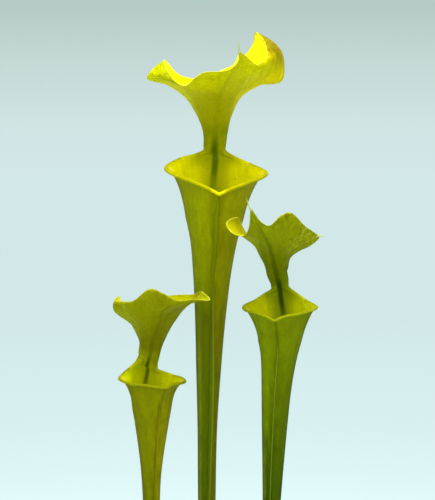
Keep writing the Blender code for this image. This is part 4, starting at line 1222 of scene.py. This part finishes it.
def rounded(profile, reach, most=0.45, steps=5):
    """Profile with each corner between its ends cut back by reach and rounded by a quadratic arc.

    No cut takes more than a share of a side, most.
    """
    line = [profile[0]]
    for before, corner, after in zip(profile, profile[1:], profile[2:]):
        back, on = before - corner, after - corner
        cut = min(reach, most * np.hypot(*back), most * np.hypot(*on))
        start, end = corner + back / np.hypot(*back) * cut, corner + on / np.hypot(*on) * cut
        t = np.linspace(0, 1, steps)[:, None]
        line.extend((1 - t) ** 2 * start + 2 * t * (1 - t) * corner + t * t * end)
    line.append(profile[-1])
    return np.array(line)


def pot_material():
    """Moulded plastic: dark green-black, fine grain, faint rings, dust low down and wear on the rim."""
    paint = Paint("pot_plastic", specular=0.35)
    where = paint.where()
    grain = paint.noise(where, 1400, 2)
    cloud = paint.noise(where, 14, 4)
    up = paint.node("ShaderNodeSeparateXYZ", {}, {"Vector": where}, "Z")
    rings = paint.math("SINE", up * 2100)
    colour = paint.mix(cloud, (38, 46, 42), (52, 60, 55))
    dust = paint.step(up, 0.035, 0.0) * paint.step(paint.noise(where, 40, 4), 0.42, 0.7)
    rim = paint.step(up, 0.1285, 0.1300) * paint.step(paint.noise(where, 90, 3), 0.45, 0.65)
    colour = paint.mix(dust * 0.45, colour, (112, 100, 82))
    colour = paint.mix(rim * 0.5, colour, (96, 102, 96))
    paint.bump(grain * 0.6 + rings * 0.05 + cloud * 0.2, 0.0003, 0.5)
    return paint.finish(colour, 0.46 + cloud * 0.12 + dust * 0.25)


def make_pot():
    """Turned cup: the profile runs over the floor, up the inside, over the band and down the outside."""
    band, bottom, top = POT_BAND_RADIUS, POT_BAND_BOTTOM, POT_HEIGHT
    brow = top - POT_RIM_DROP
    profile = np.array([
        (0, POT_FLOOR), (pot_inside(POT_FLOOR), POT_FLOOR), (pot_inside(brow), brow),
        (pot_inside(brow) + POT_BEVEL, top), (band, top), (band - 0.4, bottom + 1),
        (band - POT_BEVEL, bottom), (POT_WALL_RADIUS, bottom), (POT_BASE_RADIUS + 0.2, POT_FOOT_BEVEL),
        (POT_BASE_RADIUS - POT_FOOT_BEVEL, 0), (0, 0)], float)
    rings = turned_profile(rounded(profile, POT_ROUNDING)[1:-1], full_turn(POT_SIDES))
    points, faces, _ = closed_rings(rings[::-1])
    pot = add_piece("plant_pot", points, faces, pot_material(), "pot")
    drills = bpy.data.meshes.new("drills")
    shape = bmesh.new()
    for i in range(DRAIN_HOLES):
        at = (i + 0.5) * 2 * np.pi / DRAIN_HOLES
        radius, circle = DRAIN_RADIUS * MM, DRAIN_CIRCLE * MM
        made = bmesh.ops.create_cone(shape, cap_ends=True, segments=DRAIN_SIDES, radius1=radius,
                                     radius2=radius, depth=3 * POT_FLOOR * MM)
        bmesh.ops.translate(shape, verts=made["verts"], vec=(circle * np.cos(at), circle * np.sin(at), 0))
    shape.to_mesh(drills)
    shape.free()
    drill = bpy.data.objects.new("drills", drills)
    bpy.context.scene.collection.objects.link(drill)
    cut = pot.modifiers.new("drain", "BOOLEAN")
    cut.operation = "DIFFERENCE"
    cut.object = drill
    shown = bpy.context.evaluated_depsgraph_get()
    done = bpy.data.meshes.new_from_object(pot.evaluated_get(shown))
    pot.modifiers.clear()
    pot.data = done
    done.set_sharp_from_angle(angle=np.radians(40))
    bpy.data.objects.remove(drill, do_unlink=True)


def foot_place(leaf):
    """Place of a leaf's foot in the plant, across and back."""
    return placed(np.array(leaf["tube"][0][1:3] + (0,), float), leaf)


def stem_line(x):
    """Middle of the creeping stem and its half width, at the places along it."""
    feet = [foot_place(leaf) for leaf in LEAVES]
    crowns = sum(np.exp(-((x - foot[0]) / STEM_CROWN_SPREAD) ** 2) for foot in feet)
    hind, near = feet[0][1], (feet[1][1] + feet[2][1]) / 2
    middle = near + (hind - near) / (1 + (x / STEM_BEND_REACH) ** 4)
    ends = np.sqrt(np.clip(1 - (x / (STEM_HALF_LENGTH * 1.02)) ** 4, 0, 1))
    return middle, (STEM_HALF_WIDTH + STEM_CROWN * crowns) * ends


def soil_height(x, y):
    """Mound of the mix: the solids' low mound and bumps, with finer crumbs added."""
    edge = pot_inside(SOIL_TOP) - GAP
    share = np.hypot(x, y) / edge
    bumps = np.sin(x * 0.21 + 1) * np.sin(y * 0.27) + 0.6 * np.sin(x * 0.43 + y * 0.31)
    inner = ramp(share, 1.0, 0.86)
    crumbs = (0.35 * np.sin(x * 1.7 + 2 * np.sin(y * 0.9)) * np.sin(y * 1.9 + 1.3 * np.sin(x * 1.1))
              + 0.2 * np.sin(x * 3.9 + y * 2.7) * np.sin(y * 4.3 - x * 1.9))
    return SOIL_TOP + SOIL_MOUND * (1 - share) + SOIL_BUMP * bumps * inner + SOIL_CRUMBS * crumbs


def soil_material():
    """Damp peat: dark brown fibres and crumbs, with paler dry bits."""
    paint = Paint("peat", specular=0.2)
    crumb = paint.noise(paint.where(), 260, 5, 0.65)
    fibre = paint.noise(paint.where((1.0, 5.0, 1.0)), 230, 3, 0.6, 1.5)
    colour = paint.stops(crumb, (0.3, (28, 18, 12)), (0.5, (58, 40, 26)), (0.62, (84, 60, 40)),
                         (0.75, (120, 92, 64)))
    colour = paint.mix(paint.step(fibre, 0.6, 0.72) * 0.6, colour, (128, 98, 62))
    paint.bump(crumb * 0.7 + fibre * 0.3, 0.0012, 0.9)
    return paint.finish(colour, 0.8 + crumb * 0.15)


def make_soil():
    """Mix: flank and floor a little inside the pot, closed over the top by the crumbled mound."""
    edge = pot_inside(SOIL_TOP) - GAP
    turn = full_turn(SOIL_SIDES)
    radii = edge * np.sqrt(np.linspace(1, 0.0004, SOIL_RINGS))
    x, y = radii[:, None] * np.cos(turn), radii[:, None] * np.sin(turn)
    top = np.stack([x, y, soil_height(x, y)], -1)
    top[0, :, 2] = SOIL_TOP
    # the lower corner is cut back from the rounded corner of the pot
    flank = np.array([(pot_inside(POT_FLOOR) - 2.6, POT_FLOOR + GAP),
                      (pot_inside(POT_FLOOR + 2.4) - GAP, POT_FLOOR + 2.6)])
    points, faces, _ = closed_rings(np.concatenate([turned_profile(flank, turn), top]))
    add_piece("potting_mix", points, faces, soil_material(), "soil")


def scatter(seed, count, keep_off=1.5):
    """Random places on the mound inside the pot's wall, with a random number for each."""
    draw = np.random.default_rng(seed)
    radius = (pot_inside(SOIL_TOP) - keep_off) * np.sqrt(draw.random(count))
    turn = draw.random(count) * 2 * np.pi
    x, y = radius * np.cos(turn), radius * np.sin(turn)
    return np.stack([x, y, soil_height(x, y)], -1), draw


def repeat(shape, faces, places, sizes, turns, tilt):
    """Copies of a small shape: each is scaled, tilted about X, turned about the upright and moved."""
    c, s = np.cos(tilt)[:, None], np.sin(tilt)[:, None]
    x, y, z = np.moveaxis(shape[None] * sizes[:, None], -1, 0)
    tilted = np.stack([x, y * c - z * s, y * s + z * c], -1)
    points = turned(tilted, turns[:, None]) + places[:, None]
    first = np.arange(len(places)) * len(shape)
    faces = np.asarray(faces)
    return points.reshape(-1, 3), (faces + first[:, None, None]).reshape(-1, faces.shape[1])


def ball(seed):
    """Rough pebble of 20 faces with a radius of about 1, dented at random."""
    shape = bmesh.new()
    bmesh.ops.create_icosphere(shape, subdivisions=1, radius=1)
    points = np.array([v.co for v in shape.verts])
    faces = np.array([[v.index for v in face.verts] for face in shape.faces])
    shape.free()
    return points * np.random.default_rng(seed).uniform(0.75, 1.1, (len(points), 1)), faces


def grain_material(name, dark, light):
    paint = Paint(name, specular=0.25)
    cloud = paint.noise(paint.where(), 330, 2)
    grain = paint.noise(paint.where(), 2400, 2)
    paint.bump(grain, 0.0002, 0.6)
    return paint.finish(paint.mix(paint.step(cloud, 0.35, 0.65), dark, light), 0.7 + grain * 0.2)


# Grains strewn on the mix: name, seed, how many, least and greatest radius, dark and light tone
GRIT = (("sand", 21, 900, (0.35, 0.8), (150, 138, 118), (206, 198, 182)),
        ("perlite", 22, 160, (0.8, 1.7), (206, 204, 196), (238, 236, 230)),
        ("bark", 23, 420, (0.7, 2.2), (62, 40, 24), (110, 78, 50)))


def make_grit():
    """Grains of pale sand and perlite and of brown bark, each flattened and turned at random."""
    for name, seed, count, (small, large), dark, light in GRIT:
        places, draw = scatter(seed, count)
        sizes = draw.uniform(small, large, (count, 1))
        sizes = sizes * draw.uniform((0.7, 0.7, 0.45), (1.2, 1.2, 0.9), (count, 3))
        turns = draw.random(count) * TURN_DRAWN
        tilts = draw.uniform(-0.5, 0.5, count)
        points, grains = repeat(*ball(seed), places, sizes, turns, tilts)
        material = grain_material("grit_" + name, dark, light)
        add_piece("grit_" + name, points, [grains.tolist()], material, "soil")


def moss_material():
    paint = Paint("moss", specular=0.15)
    cloud = paint.noise(paint.where(), 55, 3)
    grain = paint.noise(paint.where(), 900, 1)
    colour = paint.stops(cloud, (0.3, (74, 92, 22)), (0.5, (112, 134, 32)), (0.7, (160, 170, 62)))
    paint.bump(grain, 0.0003, 0.5)
    paint.let_light_through((150, 170, 30), 0.25)
    return paint.finish(colour, 0.65 + grain * 0.15)


def make_moss():
    """Moss: tufts of small pointed leaves, kept in cushions where a sum of slow waves over the mix is high.

    Each leaf has five corners, three of them in its pointed upper part.
    """
    blade = np.array([(-0.32, 0, 0), (0.32, 0, 0), (0.26, 0.9, 0.75), (-0.26, 0.9, 0.75), (0, 1.5, 1.7)])
    corners = np.array([(0, 1, 2), (0, 2, 3), (3, 2, 4)])
    star = []
    faces = []
    for turn in full_turn(MOSS_LEAVES):
        faces.append(corners + len(star) * len(blade))
        star.append(turned(blade, turn))
    places, draw = scatter(MOSS_SEED, MOSS_TRIED, MOSS_KEEP_OFF)
    patch = (np.sin(places[:, 0] * 0.09 + 1.7) + np.sin(places[:, 1] * 0.11 - 0.6)
             + 0.7 * np.sin(places[:, 0] * 0.23 - places[:, 1] * 0.19))
    places = places[patch > MOSS_FROM]
    count = len(places)
    sizes = draw.uniform(0.8, 1.5, (count, 1)) * np.ones((1, 3))
    turns = draw.random(count) * TURN_DRAWN
    tilts = draw.uniform(-0.25, 0.25, count)
    points, leaves = repeat(np.concatenate(star), np.concatenate(faces), places, sizes, turns, tilts)
    add_piece("moss", points, [leaves.tolist()], moss_material(), "soil")


def bark_material():
    """Creeping stem: dark brown bark, scaly, lighter brown in patches, with pale flecks."""
    paint = Paint("stem_bark", specular=0.2)
    where = paint.where()
    scales = paint.cells(paint.where((2.2, 1.0, 1.0)), 230.0)
    grain = paint.noise(where, 700, 4)
    cloud = paint.noise(where, 60, 3)
    colour = paint.mix(cloud, (86, 52, 30), (132, 84, 48))
    colour = paint.mix(paint.step(scales, 0.07, 0.0) * 0.7, colour, (40, 24, 14))
    colour = paint.mix(paint.step(grain, 0.55, 0.75) * 0.35, colour, (164, 124, 82))
    paint.bump(paint.step(scales, 0.0, 0.16) * 0.7 + grain * 0.3, 0.0008, 0.9)
    return paint.finish(colour, 0.7 + grain * 0.2)


def make_stem():
    """Creeping stem: rings along a bent rod, ringed with old leaf scars and knobbly on top."""
    x = STEM_HALF_LENGTH * np.sin(np.linspace(-1, 1, STEM_RINGS) * np.pi / 2 * 0.96)
    middle, half = stem_line(x)
    turn = full_turn(STEM_SIDES)
    along = x[:, None]
    bumps = STEM_KNOBS * np.clip(np.sin(turn), 0, 1) * np.sin(along * 0.55) * np.sin(2 * turn + 0.8)
    scars = STEM_SCARS * np.abs(np.sin(along * 0.9 + 0.6 * np.sin(turn * 2))) ** 3
    rough = STEM_ROUGHNESS * np.sin(along * 3.1 + 4 * turn) * np.sin(7 * turn - along * 1.3)
    radius = half[:, None] + bumps + scars + rough
    rings = np.stack([np.repeat(along, STEM_SIDES, 1), middle[:, None] + radius * np.cos(turn),
                      STEM_CENTRE_UP + radius * np.sin(turn)], -1)
    points, faces, _ = closed_rings(rings)
    add_piece("creeping_stem", points, faces, bark_material(), "rhizome")


def sheath_material():
    paint = Paint("dry_sheath", specular=0.2)
    streak = paint.noise(paint.where((6.0, 6.0, 1.0)), 120, 3)
    colour = paint.stops(streak, (0.3, (104, 60, 32)), (0.5, (150, 98, 54)), (0.7, (190, 146, 92)))
    paint.bump(streak, 0.0004, 0.7)
    return paint.finish(colour, 0.6 + streak * 0.2)


def make_sheaths():
    """Papery scales round each leaf's foot: pointed sheets wrapped part way round the tube, leaning out."""
    material = sheath_material()
    v = np.linspace(0, 1, 30)[:, None]
    u = np.linspace(-1, 1, 25)[None]
    for leaf in LEAVES:
        foot = foot_place(leaf)
        for i, (turn, tall) in enumerate(((0.4, 24), (2.3, 19), (4.4, 15))):
            width = 1.25 * (1 - v ** 2.4) + 0.02
            angle = turn + u * width
            radius = leaf["tube"][0][3] + 1.5 + 0.5 * i + 2.2 * v ** 2 + 0.25 * np.sin(u * 5 + i)
            up = SHEATH_UP + tall * v + 0 * u
            points = np.stack([foot[0] + radius * np.cos(angle), foot[1] + radius * np.sin(angle), up], -1)
            faces = [quads(numbered(points)).tolist()]
            piece = add_piece(f"sheath_{short_name(leaf)}_{i}", points.reshape(-1, 3), faces, material,
                              "rhizome")
            wall = piece.modifiers.new("wall", "SOLIDIFY")
            wall.thickness = SHEATH_WALL * MM


# Scene

def room_material():
    """Pale room: a lit floor near the pot, and a soft glow on the rest that dims towards the wall."""
    paint = Paint("room", roughness=0.9, specular=0.0)
    run = paint.field("run")
    glow = paint.stops(
        run, (1.05, (229, 253, 254)), (1.26, (222, 246, 246)), (1.54, (217, 240, 240)),
        (2.05, (212, 236, 236)), (2.5, (210, 232, 232)), (4.15, (210, 231, 231)), (4.4, (207, 228, 227)),
        (4.65, (196, 216, 214)), (4.85, (181, 202, 199)), (5.6, (172, 193, 190)))
    emit = paint.node("ShaderNodeEmission", {}, {"Color": glow, "Strength": 1.0})
    paint.feed(paint.shader.inputs["Base Color"], (226, 238, 238))
    paint.mix_shader(paint.step(run, LIT_FLOOR_REACH, GLOW_FLOOR_REACH), emit)
    return paint.material


def make_room():
    """Room of revolution: a flat floor, a quarter-round cove and an upright wall, with the run along it."""
    reach = np.concatenate([[0.02, 0.1, 0.2], np.linspace(0.3, FLOOR_REACH, 60)])
    floor = np.stack([reach, np.zeros(len(reach))], 1)
    bend = np.linspace(0, np.pi / 2, 24)
    cove = np.stack([FLOOR_REACH + COVE_RADIUS * np.sin(bend), COVE_RADIUS * (1 - np.cos(bend))], 1)[1:]
    wall = np.array([(FLOOR_REACH + COVE_RADIUS, z) for z in np.linspace(COVE_RADIUS, WALL_TOP, 12)])[1:]
    line = np.concatenate([floor, cove, wall])
    run = np.concatenate([[line[0, 0]], line[0, 0] + np.cumsum(np.hypot(*np.diff(line, axis=0).T))])
    rings = turned_profile(line, full_turn(ROOM_SIDES)) - (0, 0, FLOOR_DROP)
    ids = wrap(numbered(rings))
    middle = np.full(ROOM_SIDES, rings[..., 0].size)
    centre = np.stack([middle, ids[0, :-1], ids[0, 1:]], -1)
    points = np.concatenate([rings.reshape(-1, 3), [(0, 0, -FLOOR_DROP)]])
    fields = dict(run=np.concatenate([np.repeat(run, ROOM_SIDES), [0.0]]))
    item = add_mesh("room", points, [quads(ids).tolist(), centre.tolist()], room_material(), fields)


def make_camera():
    lens = bpy.data.cameras.new("view")
    lens.sensor_width = SENSOR
    lens.lens = SENSOR * VIEW_DISTANCE / FRAME_HEIGHT
    camera = bpy.data.objects.new("view", lens)
    camera.location = (AIM[0], AIM[1] - VIEW_DISTANCE * np.cos(VIEW_DOWN),
                       AIM[2] + VIEW_DISTANCE * np.sin(VIEW_DOWN))
    camera.rotation_euler = (np.pi / 2 - VIEW_DOWN, 0, 0)
    bpy.context.scene.collection.objects.link(camera)
    bpy.context.scene.camera = camera


# Lamps: name, place and watts
LAMPS = (("front_lamp", (0.12, -1.4, 1.3), 22), ("top_lamp", (0.05, -0.15, 1.95), 42))
LAMP_AIM = (0, 0, 0.5)
LAMP_SIZE = 0.9
LAMP_COLOUR = (1.0, 0.94, 0.82)
SKY_COLOUR = (1.0, 0.97, 0.9, 1)
SKY_STRENGTH = 0.8


def make_lamp(name, place, watts):
    """Large soft square lamp turned to the middle of the plant, not seen by the camera itself."""
    lamp = bpy.data.lights.new(name, "AREA")
    lamp.size = LAMP_SIZE
    lamp.energy = watts
    lamp.color = LAMP_COLOUR
    item = bpy.data.objects.new(name, lamp)
    item.location = place
    away = np.array(place) - np.array(LAMP_AIM)
    item.rotation_euler = (np.arctan2(np.hypot(away[0], away[1]), away[2]), 0,
                           np.arctan2(away[1], away[0]) + np.pi / 2)
    item.visible_camera = False
    bpy.context.scene.collection.objects.link(item)


def make_light():
    world = bpy.data.worlds.new("sky")
    world.use_nodes = True
    sky = world.node_tree.nodes["Background"].inputs
    sky["Color"].default_value = SKY_COLOUR
    sky["Strength"].default_value = SKY_STRENGTH
    bpy.context.scene.world = world
    bpy.context.scene.view_settings.view_transform = "Standard"
    for lamp in LAMPS:
        make_lamp(*lamp)


make_camera()
make_room()
make_light()
for leaf in LEAVES:
    make_leaf(leaf)
make_pot()
make_soil()
make_grit()
make_moss()
make_stem()
make_sheaths()
